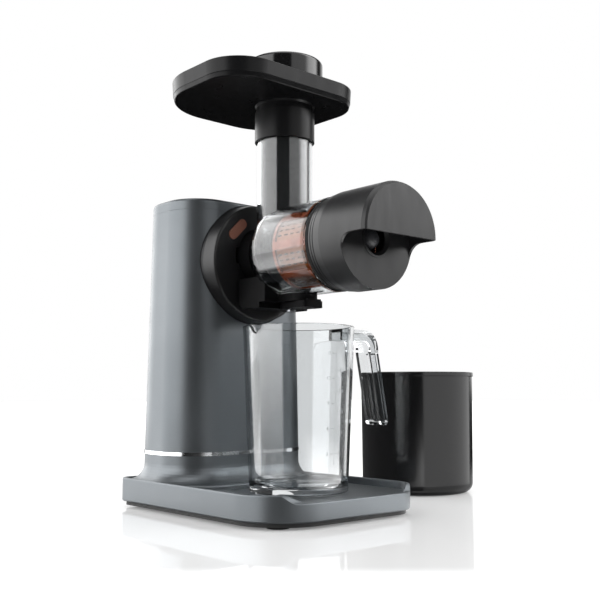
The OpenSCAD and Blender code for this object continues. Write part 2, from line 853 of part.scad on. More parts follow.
module output_drive() {
    placed() color("#cfcabb") difference() {
        union() {
            rod_y(hub_y, carrier_y[0] + 1, out_r);
            rod_y(carrier_y[0], carrier_y[1], orbit_r + pin_r + 3);
        }
        along_y(hub_y - 1) cylinder(h = hex_depth + 1,
            r = (hex_af / 2 + 0.2) / cos(30), $fn = 6);
        for (a = planet_angles) along_y(carrier_y[0] - 1) rotate(a)
            translate([orbit_r, 0, 0]) cylinder(h = 10, r = pin_r, $fn = 48);
    }
}

module planet_pins() {
    placed() color(steel) for (a = planet_angles) along_y(carrier_y[0]) rotate(a)
        translate([orbit_r, 0, 0])
            cylinder(h = gears_end + 0.4 - carrier_y[0], r = pin_r, $fn = 48);
}

module planet_gear(k) {
    placed() color("#e2ddcc") along_y(gears_y) rotate(planet_angles[k]) translate([orbit_r, 0, 0])
        difference() {
            linear_extrude(gear_w) rotate(180 / planet_n)
                polygon(gear_points(planet_n, addendum, dedendum, tooth_play));
            translate([0, 0, -1]) cylinder(h = gear_w + 2, r = pin_r + run, $fn = 48);
        }
}

module planet_gear_a() { planet_gear(0); }
module planet_gear_b() { planet_gear(1); }
module planet_gear_c() { planet_gear(2); }

module gearbox_screws() {
    placed() color(steel) for (a = [45:90:315]) along_y(motor_y - 7) rotate(a)
        translate([ear_at, 0, 0]) difference() {
            union() {
                cylinder(h = 7 + plate_motor_t + 0.1, r = screw_r);
                translate([0, 0, 7 + plate_motor_t]) cylinder(h = 2, r = 2.8);
            }
            translate([0, 0, 8 + plate_motor_t]) cylinder(h = 2, r = 1.3, $fn = 6);
        }
}

// ---- motor ----
plate_motor_t = 2.5;
bush_r = 6;
can_y = motor_y + plate_motor_t;
can_end = can_y + can_len;
can_t = 1.8;
bell_t = 3.5;
core_y = [can_y + 10, can_y + 25];
slot_n = 12;
slot_r = 2.7;
slot_at = core_r - 4.6;
comm_r = 8.5;
comm_y = [core_y[1] + 3, core_y[1] + 8.5];
fan_y = [can_y + 1.6, can_y + 6];

module motor_plate() {
    placed() color("#8f9296") difference() {
        union() {
            rod_y(motor_y, can_y, ring_r + case_wall);
            for (a = [45:90:315]) along_y(motor_y) rotate(a)
                translate([ear_at, 0, 0]) cylinder(h = plate_motor_t, r = ear_r);
        }
        rod_y(motor_y - 1, can_y + 1, bush_r);
        for (a = [45:90:315]) along_y(motor_y - 1) rotate(a)
            translate([ear_at, 0, 0]) cylinder(h = 6, r = screw_r + screw_clear);
    }
}

module motor_can() {
    placed() color("#777b80") difference() {
        ring_y(can_y, can_end, can_r, can_r - can_t);
        // cooling windows beside the fan
        for (a = [0:45:315]) along_y(fan_y[0]) rotate(a)
            translate([can_r - 5, -4, 0]) cube([10, 8, 4]);
    }
}

module motor_magnets() {
    placed() color("#3d3d40") for (a = [20, 200]) along_y(core_y[0] - 1) rotate(a)
        rotate_extrude(angle = 140) translate([core_r + 0.6, 0])
            square([can_r - can_t - core_r - 0.6 - run, core_y[1] - core_y[0] + 2]);
}

module motor_bearings() {
    placed() color("#a8793c") {
        ring_y(motor_y, can_y + 1.2, bush_r, shaft_r + run);
        ring_y(can_end - 0.5, can_end + bell_t, bush_r, shaft_r + run);
    }
}

module end_bell() {
    placed() color("#2c2e31") difference() {
        union() {
            rod_y(can_end, can_end + bell_t, can_r);
            rod_y(can_end - 0.5, can_end + 1, bush_r + 2);
        }
        rod_y(can_end - 2, can_end + bell_t + 1, bush_r);
        for (a = [0:60:300]) along_y(can_end - 1) rotate(a + 30)
            translate([18, 0, 0]) cylinder(h = bell_t + 2, r = 4.5);
    }
}

module brush_holders() {
    h = can_end - comm_y[0];
    placed() color("#3b2d22") for (a = [0, 180]) along_y(comm_y[0]) rotate(a) difference() {
        translate([comm_r + 1.5, -4.5, 0]) cube([15, 9, h]);
        translate([comm_r + 1, -2.6, 1]) cube([12, 5.2, h - 2.2]);
    }
}

module carbon_brushes() {
    h = can_end - comm_y[0] - 2.4;
    placed() color("#202020") for (a = [0, 180]) along_y(comm_y[0] + 1.1) rotate(a)
        translate([comm_r + 0.15, -2.5, 0]) cube([11, 5, h]);
}

module motor_shaft() {
    placed() color(steel) {
        rod_y(gears_y + 0.2, can_end + bell_t + 1, shaft_r);
        along_y(gears_y + 0.2) linear_extrude(gear_w)
            polygon(gear_points(sun_n, addendum, dedendum, tooth_play));
    }
}

module armature_core() {
    placed() color("#94979b") along_y(core_y[0]) linear_extrude(core_y[1] - core_y[0]) difference() {
        circle(core_r);
        circle(shaft_r);
        for (i = [0:slot_n - 1]) rotate(i * 360 / slot_n) {
            translate([slot_at, 0]) circle(slot_r, $fn = 32);
            translate([slot_at, -0.6]) square([6, 1.2]);
        }
    }
}

module armature_windings() {
    head_reach = 11;
    placed() color("#b06a34") {
        for (i = [0:slot_n - 1]) along_y(core_y[0] - 0.5) rotate(i * 360 / slot_n)
            translate([slot_at, 0, 0])
                cylinder(h = core_y[1] - core_y[0] + 1, r = slot_r - 0.15, $fn = 32);
        for (y = [core_y[0] - 2.6, core_y[1] + 0.1])
            turn_y() polygon([[slot_at - head_reach, y], [slot_at + 2.5, y + 0.4],
                [slot_at + 2.5, y + 2.1], [slot_at - head_reach, y + 2.5]]);
    }
}

module commutator() {
    placed() color("#b77a45") along_y(comm_y[0]) difference() {
        cylinder(h = comm_y[1] - comm_y[0], r = comm_r);
        translate([0, 0, -1]) cylinder(h = 10, r = shaft_r);
        for (i = [0:slot_n - 1]) rotate(i * 360 / slot_n)
            translate([comm_r - 0.8, -0.3, -1]) cube([2, 0.6, 10]);
    }
}

module cooling_fan() {
    blades = 9;
    placed() color("#d8d6cf") along_y(fan_y[0]) difference() {
        union() {
            cylinder(h = fan_y[1] - fan_y[0], r = shaft_r + 3.5);
            translate([0, 0, fan_y[1] - fan_y[0] - 1]) cylinder(h = 1, r = core_r - 2);
            for (i = [0:blades - 1]) rotate(i * 360 / blades)
                translate([shaft_r + 1, -0.6, 0]) cube([core_r - 5, 1.2, fan_y[1] - fan_y[0]]);
        }
        translate([0, 0, -1]) cylinder(h = 10, r = shaft_r);
    }
}

// ---- chute ----
body_in = chamber_r - chute_wall;
neck_in = neck_r - chute_wall;
spigot_in = filter_r + gap;
spigot_front = chamber_front - spigot_len;
tube_in = tube_r - chute_wall;
flank_y = shoulder_y + shoulder_r;
spout_y = [-6, 27];
tongue_z = 162.3;
tongue_y = outlet_y - outlet_r - tongue_wall;
tongue_hw = 11;
pivot_y = -8;
pivot_r = 2;

// Outside of the chamber, shoulder and neck, grown by `out`
module chute_outside(out = 0) {
    turn_y() polygon(concat(
        [[0, spigot_front], [spigot_r + out, spigot_front], [spigot_r + out, chamber_front],
         [chamber_r + out, chamber_front]],
        arc(chamber_r - shoulder_r, shoulder_y, shoulder_r + out, 0, 90, 8),
        [[neck_r + out, flank_y + out], [neck_r + out, neck_back], [0, neck_back]]));
}

module chute_inside() {
    ri = shoulder_r - chute_wall;
    turn_y() polygon(concat(
        [[0, spigot_front - 1], [spigot_in, spigot_front - 1],
         [spigot_in, chamber_front + chute_wall], [body_in, chamber_front + chute_wall + 2]],
        arc(body_in - ri, shoulder_y, ri, 0, 90, 8),
        [[neck_in, flank_y - chute_wall], [neck_in, neck_back + 1], [0, neck_back + 1]]));
}

// Bayonet slots in the spigot: an axial way in and a run round
nub_half = 5;
nub_y = [spigot_front + 1.5, spigot_front + 4.5];
slot_floor = spigot_r - 1;
module spigot_slots() {
    for (k = [0, 180]) along_y(spigot_front - 1) rotate(k) {
        slot_piece(0, 1 + 5, -nub_half - 2, nub_half + 2);
        slot_piece(2, 1 + 5, -nub_half - 2, nub_half + 40);
    }
}

// Part of a ring that is cut out of the spigot between two angles
module slot_piece(z0, z1, a0, a1) {
    translate([0, 0, z0]) linear_extrude(z1 - z0) difference() {
        polygon(concat([[0, 0]], arc(0, 0, spigot_r + 3, a0, a1, 8)));
        circle(slot_floor);
    }
}

module chute() {
    placed() color(clear) difference() {
        union() {
            chute_outside();
            translate([0, 0, axis_z]) cylinder(h = tube_top - axis_z, r = tube_r);
        }
        chute_inside();
        translate([0, 0, axis_z]) cylinder(h = tube_top, r = tube_in);
        // juice outlet
        translate([0, outlet_y, tongue_z - 5]) cylinder(h = 20, r = outlet_r);
        spigot_slots();
    }
}

module chute_sleeve() {
    placed() color(black) {
        difference() {
            ring_y(sleeve_y, neck_back, sleeve_r, neck_r + run);
            // scooped out for the feed tube
            translate([0, 0, axis_z]) cylinder(h = 2 * sleeve_r, r = tube_r + run);
        }
        difference() {
            lug_pair(lug_y[0], lug_y[1], lug_r, lug_half);
            rod_y(lug_y[0] - 1, lug_y[1] + 1, neck_r + run);
        }
    }
}

module drive_seal() {
    placed() color("#303033") difference() {
        ring_y(neck_back - 4.4, neck_back - 0.4, neck_in - gap, 0);
        rod_y(neck_back - 6, neck_back + 2, hub_r + gap);
    }
}

// Carries the juice from the chamber; bonded under the chute
module spout_block() {
    round_b = 8;
    placed() color(black) difference() {
        union() {
            // block with its rounded lower back edge
            translate([-spout_hw, 0, 0]) rotate([90, 0, 90]) linear_extrude(2 * spout_hw)
                polygon(concat([[0.8, spout_z]],
                    arc(spout_y[1] - round_b, spout_z + round_b, round_b, 270, 360, 8),
                    [[spout_y[1], spout_z + 24], [spout_y[0], spout_z + 24],
                     [spout_y[0], tongue_z], [0.8, tongue_z]]));
            // tongue under the chamber
            translate([0, 0, tongue_z]) linear_extrude(10) {
                translate([-tongue_hw, tongue_y + tongue_hw])
                    square([2 * tongue_hw, spout_y[0] - tongue_y - tongue_hw + 1]);
                translate([0, tongue_y + tongue_hw]) circle(tongue_hw);
            }
        }
        chute_outside(0.05);
        rod_y(sleeve_y - 1, neck_back, sleeve_r + 0.05);
        translate([0, 0, axis_z]) cylinder(h = 40, r = tube_r + 0.1);
        translate([0, outlet_y, tongue_z - 5]) cylinder(h = 30, r = outlet_r);
        // seat of the lever's round end, and its pin
        translate([0, pivot_y, spout_z - 5]) cylinder(h = tongue_z - spout_z + 5, r = lever_eye + 0.5);
        translate([0, pivot_y, tongue_z - 1]) cylinder(h = 3.7, r = pivot_r);
    }
}

lever_eye = 8.5;
lever_t = tongue_z - gap - spout_z + 1;
lever_z = spout_z - 1;
lever_lip = 1.6;
lever_len = pivot_y - tongue_y + gap + lever_lip;

module lever_pin() {
    placed() color(steel) translate([0, pivot_y, 0]) {
        translate([0, 0, lever_z - 0.4]) cylinder(h = tongue_z + 2.7 - lever_z + 0.4, r = pivot_r);
        translate([0, 0, lever_z - 1.6]) cylinder(h = 1.3, r = pivot_r + 1.5);
    }
}

module drip_lever() {
    tip = pivot_y - lever_len;
    placed() color(black) difference() {
        union() {
            translate([0, 0, lever_z]) linear_extrude(lever_t) {
                translate([0, pivot_y]) circle(lever_eye);
                translate([-lever_eye, tip + 6]) square([2 * lever_eye, lever_len - 6]);
                // paddle with rounded corners
                translate([-lever_hw, tip + 3]) square([2 * lever_hw, 8]);
                translate([3 - lever_hw, tip]) square([2 * lever_hw - 6, 11]);
                for (s = [-1, 1]) translate([s * (lever_hw - 3), tip + 3]) circle(3);
            }
            // finger lip in front of the tongue
            translate([-lever_hw + 3, tip, lever_z + lever_t - 1])
                cube([2 * lever_hw - 6, lever_lip, 2.4]);
        }
        translate([0, pivot_y, lever_z - 1]) cylinder(h = 10, r = pivot_r + run);
    }
}

// ---- screw ----
hub_r = 11;
flight_y = [18, -3, -60, -88];
flight_step = 9;

// One flight of the screw: a thin arm twisted about the axis, trimmed to the screw's outline
module flight(y0, y1, r, turns, start) {
    along_y(y1) rotate(start) linear_extrude(y0 - y1, twist = -360 * turns,
        slices = ceil(turns * 360 / flight_step), segments = 4)
        translate([0, -flight_t / 2]) square([r, flight_t]);
}

module auger() {
    placed() color("#2b2b2d") {
        // hexagonal drive end
        along_y(neck_back - 1) cylinder(h = hex_depth + 1, r = hex_af / 2 / cos(30), $fn = 6);
        // hub, swelling core, nose
        turn_y() polygon(concat(
            [[0, neck_back], [hub_r, neck_back - 0.2], [hub_r, flight_y[0]],
             [hub_r - 1, 0], [hub_r + 2, flight_y[2] + 20], [hub_r + 8, flight_y[2]],
             [hub_r + 8, flight_y[2] - 3], [nose_r + 2.4, flight_y[3]]],
            arc(0, flight_y[3] - 4, nose_r, 0, -90, 6)));
        // one flight in the neck, two in the chamber
        flight(flight_y[0], flight_y[1] - 2, auger_neck_r, 0.75, 0);
        flight(flight_y[1], flight_y[2], auger_r, flight_turns, 90);
        flight(flight_y[1], flight_y[2], auger_r, flight_turns, 270);
    }
}

// ---- filter ----
basket_t = 2.9;
basket_front = spigot_front;
window_y = [basket_front + 9, filter_back - 4];
rib_half = 6;

module window_wedges() {
    step = 360 / filter_windows;
    for (i = [0:filter_windows - 1]) along_y(window_y[0]) rotate(i * step)
        linear_extrude(window_y[1] - window_y[0])
            polygon(concat([[0, 0]], arc(0, 0, filter_r + 5, rib_half, step - rib_half, 4)));
}

module filter_basket() {
    ri = filter_r - basket_t;
    placed() color(copper) difference() {
        turn_y() polygon([[ri, basket_front], [filter_r, basket_front],
            [filter_r, basket_front + 6], [filter_r - 0.6, basket_front + 7],
            [filter_r - 0.6, filter_back - 1], [filter_r - 1.4, filter_back],
            [ri, filter_back]]);
        window_wedges();
    }
}

// Fine screens that fill the windows, pierced with slots
module filter_screen() {
    step = 360 / filter_windows;
    rm = filter_r - 1.6;
    rows = 5;
    placed() color("#8c8f92") difference() {
        intersection() {
            ring_y(window_y[0], window_y[1], rm, rm - 0.6);
            window_wedges();
        }
        for (i = [0:filter_windows - 1], j = [0:rows - 1], k = [-1:1])
            along_y(window_y[0] + 3 + j * (window_y[1] - window_y[0] - 2) / rows)
                rotate(i * step + step / 2 + k * 8)
                    translate([rm - 3, -0.6, 0]) cube([6, 1.2, 4]);
    }
}

// ---- end cap ----
cap_back = chamber_front - 3.4;
skirt_in = spigot_r + gap;
cap_swell = cap_back - 14;

module cap_seal() {
    placed() color("#232325") turn_y() polygon([[skirt_in, cap_back + gap], [cap_r_back, cap_back + gap],
        [cap_r_back, chamber_front - gap - 0.4], [cap_r_back - 0.6, chamber_front - gap],
        [skirt_in, chamber_front - gap]]);
}

module end_cap() {
    bevel = 4;
    outlet_t = 0.6;
    lead_in = 2.4;
    placed() color(black) {
        difference() {
            union() {
                difference() {
                    turn_y() polygon([[0, cap_back], [cap_r_back, cap_back],
                        [(cap_r_back + cap_r) / 2 + 0.3, (cap_back + cap_swell) / 2],
                        [cap_r, cap_swell], [cap_r, cap_front + bevel],
                        [cap_r - 1, cap_front + bevel * 0.35], [cap_r - bevel / 2, cap_front],
                        [0, cap_front]]);
                    // open below, the side walls rounded up to the overhang
                    rotate([90, 0, 90]) linear_extrude(3 * cap_r, center = true)
                        polygon(concat([[cap_front - 5, cap_chord],
                            [cap_front - 5, cap_chord - 2 * cap_r],
                            [cap_face, cap_chord - 2 * cap_r]],
                            arc(cap_face - cap_fillet, cap_chord - cap_fillet, cap_fillet,
                                0, 90, 8)));
                    // hollow of the overhang
                    rod_y(cap_front + cap_wall, cap_face, cap_r - cap_wall);
                }
                // rim of the pulp outlet
                rod_y(cap_face - outlet_t, cap_face + 1, pulp_r + lead_in + 1.4);
            }
            // skirt over the spigot, room for the screw's cone
            turn_y() polygon([[0, cap_back + 1], [skirt_in, cap_back + 1],
                [skirt_in, spigot_front - 1.5], [cap_r - cap_wall - 2, cap_swell - 6],
                [cap_r - cap_wall - 4, cap_face + 14],
                [pulp_r + 3, cap_face + cap_wall], [0, cap_face + cap_wall]]);
            // pulp outlet
            rod_y(cap_face - outlet_t - 1, cap_face + 10, pulp_r);
            along_y(cap_face - outlet_t) cylinder(h = lead_in, r1 = pulp_r + lead_in, r2 = pulp_r);
        }
        // bayonet nubs inside the skirt
        difference() {
            lug_pair(nub_y[0], nub_y[1], skirt_in + 0.2, nub_half);
            rod_y(nub_y[0] - 1, nub_y[1] + 1, slot_floor + gap);
        }
    }
}

// ---- hopper and pusher ----
tray_z = tube_top + gap + 2;
socket_step = 1.1;

module tray_sweep() {
    edge_sweep(tray_hw, tray_front, tray_back, tray_front_r, tray_back_r) children();
}

module hopper_tray() {
    z1 = tray_z + tray_h;
    placed() color(black) difference() {
        union() {
            translate([tray_x, 0, 0]) {
                // floor
                translate([0, 0, tray_z]) linear_extrude(tray_wall)
                    plan(tray_hw, tray_front, tray_back, tray_front_r, tray_back_r, -2);
                // flared wall with a soft lower edge and a ridge
                tray_sweep() polygon([[-2.4, tray_z], [-0.6, tray_z], [0, tray_z + 0.6],
                    [tray_flare * 0.45, tray_z + 3.6], [tray_flare * 0.45 + 0.3, tray_z + 4],
                    [tray_flare, z1 - 0.5], [tray_flare - 0.5, z1],
                    [tray_flare - tray_wall + 0.4, z1], [tray_flare - tray_wall, z1 - 0.5],
                    [-2.4, tray_z + tray_wall + 0.6]]);
            }
            // socket over the feed tube
            translate([0, 0, tray_z - socket_drop]) rotate_extrude() polygon([[tube_in, 0],
                [socket_r - 0.4, 0], [socket_r, 0.4], [socket_r, socket_len],
                [socket_r - socket_step, socket_len], [socket_r - socket_step, socket_drop - 1.5],
                [socket_r + 1, socket_drop + 1], [tube_in, socket_drop + 1]]);
        }
        translate([0, 0, tray_z - socket_drop - 1])
            cylinder(h = tube_top + gap - tray_z + socket_drop + 1, r = tube_r + gap);
        translate([0, 0, tray_z - 10]) cylinder(h = 30, r = tube_in);
        translate([0, 0, tray_z + tray_wall - 2]) cylinder(h = 2.1, r1 = tube_in, r2 = tube_in + 2);
    }
}

cap_seat = tray_z + tray_wall + gap;
pusher_top = tray_z + tray_wall + pusher_skirt + pusher_cap_h;
stem_r_out = tube_in - 0.5;

// Hollow cap whose skirt rests on the tray
module pusher_cap() {
    z0 = pusher_top - pusher_cap_h;
    rs = pusher_r - 4.5;
    placed() color(black) rotate_extrude() polygon(concat(
        [[rs - 2.2, cap_seat], [rs, cap_seat], [rs + 0.5, z0 - 0.5], [pusher_r - 0.5, z0],
         [pusher_r, z0 + 0.6]],
        arc(pusher_r - 3, pusher_top - 3.5, 3, 0, 80, 6),
        [[0, pusher_top], [0, pusher_top - 2.4], [rs - 2.2, pusher_top - 3.4]]));
}

// Hollow stem, closed below, that pushes the food down the tube
module pusher_stem() {
    placed() color(black) rotate_extrude() polygon(concat([[0, pusher_end]],
        arc(stem_r_out - 1.5, pusher_end + 1.5, 1.5, 270, 360, 4),
        [[stem_r_out, pusher_top - 3.4], [stem_r_out - 2, pusher_top - 3.4],
         [stem_r_out - 2, pusher_end + 2.2], [0, pusher_end + 2.2]]));
}

// ---- jug ----
jug_z = floor_z + gap;
spout_reach = 3.6;
lip_h = 11;
pour_r = 9;
foot_ring = 5;

function jug_r(z) = jug_r_base + (jug_r_rim - jug_r_base) * (z - jug_z) / (jug_top - jug_z);

// Centre line of the handle: out of the rim, round a bend, down and outwards
function handle_line() =
    let (x1 = handle_top_x - handle_t / 2, x2 = handle_end_x - handle_t / 2,
         z1 = jug_top - handle_t / 2, lean = atan((x2 - x1) / (z1 - bend_r - handle_end_z)))
    concat([[jug_r_rim - 1.5, z1]],
        arc(x1 - bend_r, z1 - bend_r, bend_r, 90, -lean, 10),
        [[x2, handle_end_z + handle_t / 2]]);

// Strip of width t along a line of points
function unit(v) = v / norm(v);
function strip(p, t) =
    let (n = len(p),
         dirs = [for (i = [0:n - 1]) unit(p[min(i + 1, n - 1)] - p[max(i - 1, 0)])],
         side = [for (d = dirs) [-d[1], d[0]] * t / 2])
    concat([for (i = [0:n - 1]) p[i] + side[i]], [for (i = [n - 1:-1:0]) p[i] - side[i]]);

module handle_slab(t, w) {
    line = handle_line();
    translate([0, w / 2, 0]) rotate([90, 0, 0]) linear_extrude(w) {
        polygon(strip(line, t));
        translate(line[len(line) - 1]) circle(t / 2);
    }
}

module jug() {
    ri = 5;
    placed() color(clear) translate([0, jug_y, 0]) difference() {
        union() {
            rotate_extrude() polygon(concat([[0, jug_z + 1],
                [jug_r_base - foot_ring - 1, jug_z + 1], [jug_r_base - foot_ring, jug_z]],
                arc(jug_r_base - 1.5, jug_z + 1.5, 1.5, 270, 360, 4),
                arc(jug_r_rim - 0.8, jug_top - 0.8, 0.8, 0, 90, 3), [[0, jug_top]]));
            lip_cone(0);
            // handle, channelled on its inner side
            difference() {
                handle_slab(handle_t, handle_w);
                translate([-2.6, 0, -2.6]) handle_slab(handle_t, handle_w - 2 * 3);
                rotate_extrude() translate([0, jug_z]) square([jug_r_rim - 3, jug_top]);
            }
        }
        // inside
        rotate_extrude() polygon(concat([[0, jug_z + jug_floor]],
            arc(jug_r(jug_z + jug_floor) - jug_wall - ri, jug_z + jug_floor + ri, ri, 270, 355, 6),
            [[jug_r_rim - jug_wall, jug_top + 0.1], [0, jug_top + 0.1]]));
        lip_cone(jug_wall);
    }
}

// Small cone that bulges out of the rim for pouring; `wall` shrinks it for the inside
module lip_cone(wall) {
    translate([pour_r - jug_r_rim - spout_reach, 0, jug_top - lip_h])
        cylinder(h = lip_h + wall / 10, r1 = pour_r / 3 - wall, r2 = pour_r - wall);
}

// ---- pulp container ----
module pulp_container() {
    rim = 1;
    ri = bin_round - bin_wall;
    placed() color(black) translate([pulp_x, pulp_y, 0]) difference() {
        rotate_extrude() polygon(concat([[0, 1], [bin_r_base - bin_round - 3, 1],
            [bin_r_base - bin_round - 2, 0]],
            arc(bin_r_base - bin_round, bin_round, bin_round, 270, 360, 10),
            [[bin_r_rim - rim, bin_h - 4], [bin_r_rim, bin_h - 3.6], [bin_r_rim, bin_h - 0.6],
             [bin_r_rim - 0.6, bin_h], [0, bin_h]]));
        rotate_extrude() polygon(concat([[0, bin_wall + 1]],
            arc(bin_r_base - bin_round, bin_round + 1, ri, 270, 360, 10),
            [[bin_r_rim - rim - bin_wall, bin_h + 1], [0, bin_h + 1]]));
    }
}

platform();
base_plate();
feet();
base_screws();
trim_ring();
column_shell();
top_cover();
control_panel();
collar();
release_button();
power_button();
start_button();
reverse_button();
button_switches();
control_board();
power_board();
board_parts();
cord_gland();
gear_case();
drive_screws();
output_bearing();
ring_gear();
output_drive();
planet_pins();
planet_gear_a();
planet_gear_b();
planet_gear_c();
gearbox_screws();
motor_plate();
motor_can();
motor_magnets();
motor_bearings();
end_bell();
brush_holders();
carbon_brushes();
motor_shaft();
armature_core();
armature_windings();
commutator();
cooling_fan();
drive_seal();
chute();
chute_sleeve();
spout_block();
lever_pin();
drip_lever();
auger();
filter_basket();
filter_screen();
cap_seal();
end_cap();
hopper_tray();
pusher_cap();
pusher_stem();
jug();
pulp_container();
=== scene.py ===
"""Looks of the cold press juicer: materials, printed scale, painted shade in the cap's seams,
studio light and camera.
"""
import math

import bpy
import numpy as np
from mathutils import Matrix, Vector


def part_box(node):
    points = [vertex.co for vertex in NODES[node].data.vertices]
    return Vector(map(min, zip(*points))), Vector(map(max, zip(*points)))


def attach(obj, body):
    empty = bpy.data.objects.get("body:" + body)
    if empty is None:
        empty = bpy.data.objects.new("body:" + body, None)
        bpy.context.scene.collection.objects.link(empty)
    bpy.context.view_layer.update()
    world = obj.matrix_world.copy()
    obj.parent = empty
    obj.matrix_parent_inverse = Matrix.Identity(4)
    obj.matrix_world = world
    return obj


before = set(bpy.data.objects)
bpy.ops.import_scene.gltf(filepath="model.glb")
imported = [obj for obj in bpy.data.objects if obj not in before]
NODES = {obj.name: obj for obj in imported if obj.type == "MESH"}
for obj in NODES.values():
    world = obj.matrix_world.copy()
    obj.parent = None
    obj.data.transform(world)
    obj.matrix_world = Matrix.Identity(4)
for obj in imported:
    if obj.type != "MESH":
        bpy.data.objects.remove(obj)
MM = 0.001          # a millimetre in metres
SCREW_X, SCREW_Z = 0.0515, 0.202    # the common axis of screw, gearbox and motor, along Y


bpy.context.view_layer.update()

# ---------------------------------------------------------------- colours, patterns and nodes

WHITE = (1, 1, 1, 1)
NOISE_RANGE = (0.3, 0.7)    # nearly all of a noise lies in it

# settings of nodes
SMOOTH = {"interpolation_type": "SMOOTHSTEP"}
COLOURS = {"data_type": "RGBA"}
TIMES = {"operation": "MULTIPLY"}
PLUS = {"operation": "ADD"}
MINUS = {"operation": "SUBTRACT"}
LARGER = {"operation": "MAXIMUM"}
PART_ALONG = {"operation": "DOT_PRODUCT"}


def srgb(text):
    """Hex sRGB colour as linear RGBA."""
    parts = [int(text[i:i + 2], 16) / 255 for i in (1, 3, 5)]
    linear = [c / 12.92 if c <= 0.04045 else ((c + 0.055) / 1.055) ** 2.4 for c in parts]
    return (*linear, 1.0)


def shades(colour, amount):
    """A darker and a lighter shade of a linear colour, off by the given share of it."""
    return [(*(min(c * (1 + change), 1) for c in colour[:3]), 1) for change in (-amount, amount)]


def scale_of(size_mm):
    """Scale of a pattern whose cells are about size_mm across: how many fit in a metre."""
    return 1 / (size_mm * MM)


def add(tree, kind, *values, **named):
    """Adds one node and gives it back. The values go to its inputs in their order. Of the named
    ones, those with a capital go to the input of that name, with _ for a space, and the others
    are the node's settings. A socket is linked, and so is a node, by its first output."""
    node = tree.nodes.new("ShaderNode" + kind)
    for name, value in named.items():
        if name[0].islower():
            setattr(node, name, value)
    inputs = list(zip([socket for socket in node.inputs if socket.enabled], values))
    inputs += [(node.inputs[name.replace("_", " ")], value)
               for name, value in named.items() if name[0].isupper()]
    for socket, value in inputs:
        if isinstance(value, bpy.types.Node):
            value = next(output for output in value.outputs if output.enabled)
        if isinstance(value, bpy.types.NodeSocket):
            tree.links.new(value, socket)
        else:
            socket.default_value = value
    return node


def new_material(name):
    """A new material without nodes, and its tree."""
    made = bpy.data.materials.new(name)
    made.use_nodes = True
    made.node_tree.nodes.clear()
    return made, made.node_tree


# ---------------------------------------------------------------- materials


def moulded(name, colour, rough, grain_mm=0.35, grain_depth=0.004, tone=0.06, specular=0.5,
            spread=0.06):
    """Injection-moulded plastic or rubber. The eye sees an even colour with faint clouds, a gloss
    that is worn in upright smears, and a fine spark-eroded grain. The real grain is about 0.1 mm
    across, and it is drawn coarser so that it shows."""
    made, tree = new_material(name)
    place = add(tree, "TexCoord").outputs["Object"]
    cloud = add(tree, "TexNoise", place, Scale=scale_of(28), Detail=4)
    grain = add(tree, "TexNoise", place, Scale=scale_of(grain_mm), Detail=2)
    upright = add(tree, "Mapping", place, Scale=(1, 1, 0.25))
    smear = add(tree, "TexNoise", upright, Scale=scale_of(9), Detail=5, Roughness=0.65)
    mottle = add(tree, "MapRange", add(tree, "Mix", 0.4, cloud, grain), *NOISE_RANGE, **SMOOTH)
    edge = add(tree, "Bevel", 0.35 * MM, samples=4)
    plastic = add(
        tree, "BsdfPrincipled",
        Base_Color=add(tree, "Mix", mottle, *shades(srgb(colour), tone), **COLOURS),
        Roughness=add(tree, "MapRange", smear, 0.3, 0.75, rough - spread / 2, rough + spread,
                      **SMOOTH),
        Specular_IOR_Level=specular,
        Normal=add(tree, "Bump", Distance=grain_depth * MM, Height=grain, Normal=edge))
    add(tree, "OutputMaterial", plastic)
    return made


def sprayed_paint():
    """Sprayed satin paint, grey with aluminium flakes. The eye sees a soft metallic sheen, faint
    sparkle and a little orange peel. The real flakes are about 0.03 mm across, and they are
    drawn coarser so that they show."""
    made, tree = new_material("sprayed_satin_metallic_paint")
    place = add(tree, "TexCoord").outputs["Object"]
    cells = add(tree, "TexVoronoi", place, Scale=scale_of(0.22)).outputs["Color"]
    flake = add(tree, "SeparateColor", cells)
    cloud = add(tree, "TexNoise", place, Scale=scale_of(40), Detail=3)
    orange_peel = add(tree, "TexNoise", place, Scale=scale_of(1.6), Detail=2)
    mottle = add(tree, "Mix", 0.3, flake, cloud)
    edge = add(tree, "Bevel", 0.5 * MM, samples=4)
    paint = add(
        tree, "BsdfPrincipled",
        Base_Color=add(tree, "Mix", mottle, *shades(srgb("#676b6e"), 0.12), **COLOURS),
        Metallic=add(tree, "MapRange", flake, 0.2, 0.9, 0.82, 0.96, **SMOOTH),
        Roughness=add(tree, "MapRange", cloud, *NOISE_RANGE, 0.37, 0.43, **SMOOTH),
        Normal=add(tree, "Bump", Distance=0.006 * MM, Height=orange_peel, Normal=edge))
    add(tree, "OutputMaterial", paint)
    return made


def copper_toned(name, colour, rough, specular=0.5):
    """Moulded ABS with metal flakes in it. The eye sees a warm copper tone with fine sparkle
    under a thin gloss. The real flakes are about 0.05 mm across, and they are drawn coarser so
    that they show."""
    made, tree = new_material(name)
    place = add(tree, "TexCoord").outputs["Object"]
    cells = add(tree, "TexVoronoi", place, Scale=scale_of(0.18)).outputs["Color"]
    flake = add(tree, "SeparateColor", cells)
    cloud = add(tree, "TexNoise", place, Scale=scale_of(12), Detail=3)
    grain = add(tree, "TexNoise", place, Scale=scale_of(0.8), Detail=2)
    edge = add(tree, "Bevel", 0.4 * MM, samples=4)
    plastic = add(
        tree, "BsdfPrincipled",
        Base_Color=add(tree, "Mix", flake, *shades(srgb(colour), 0.16), **COLOURS),
        Metallic=add(tree, "MapRange", flake, 0.1, 0.9, 0.3, 0.5, **SMOOTH),
        Roughness=add(tree, "MapRange", cloud, *NOISE_RANGE, rough, rough + 0.1, **SMOOTH),
        Coat_Weight=0.1, Coat_Roughness=0.15, Specular_IOR_Level=specular,
        Normal=add(tree, "Bump", Distance=0.004 * MM, Height=grain, Normal=edge))
    add(tree, "OutputMaterial", plastic)
    return made


PASSED_LIGHT = (0.9, 0.91, 0.92, 1)


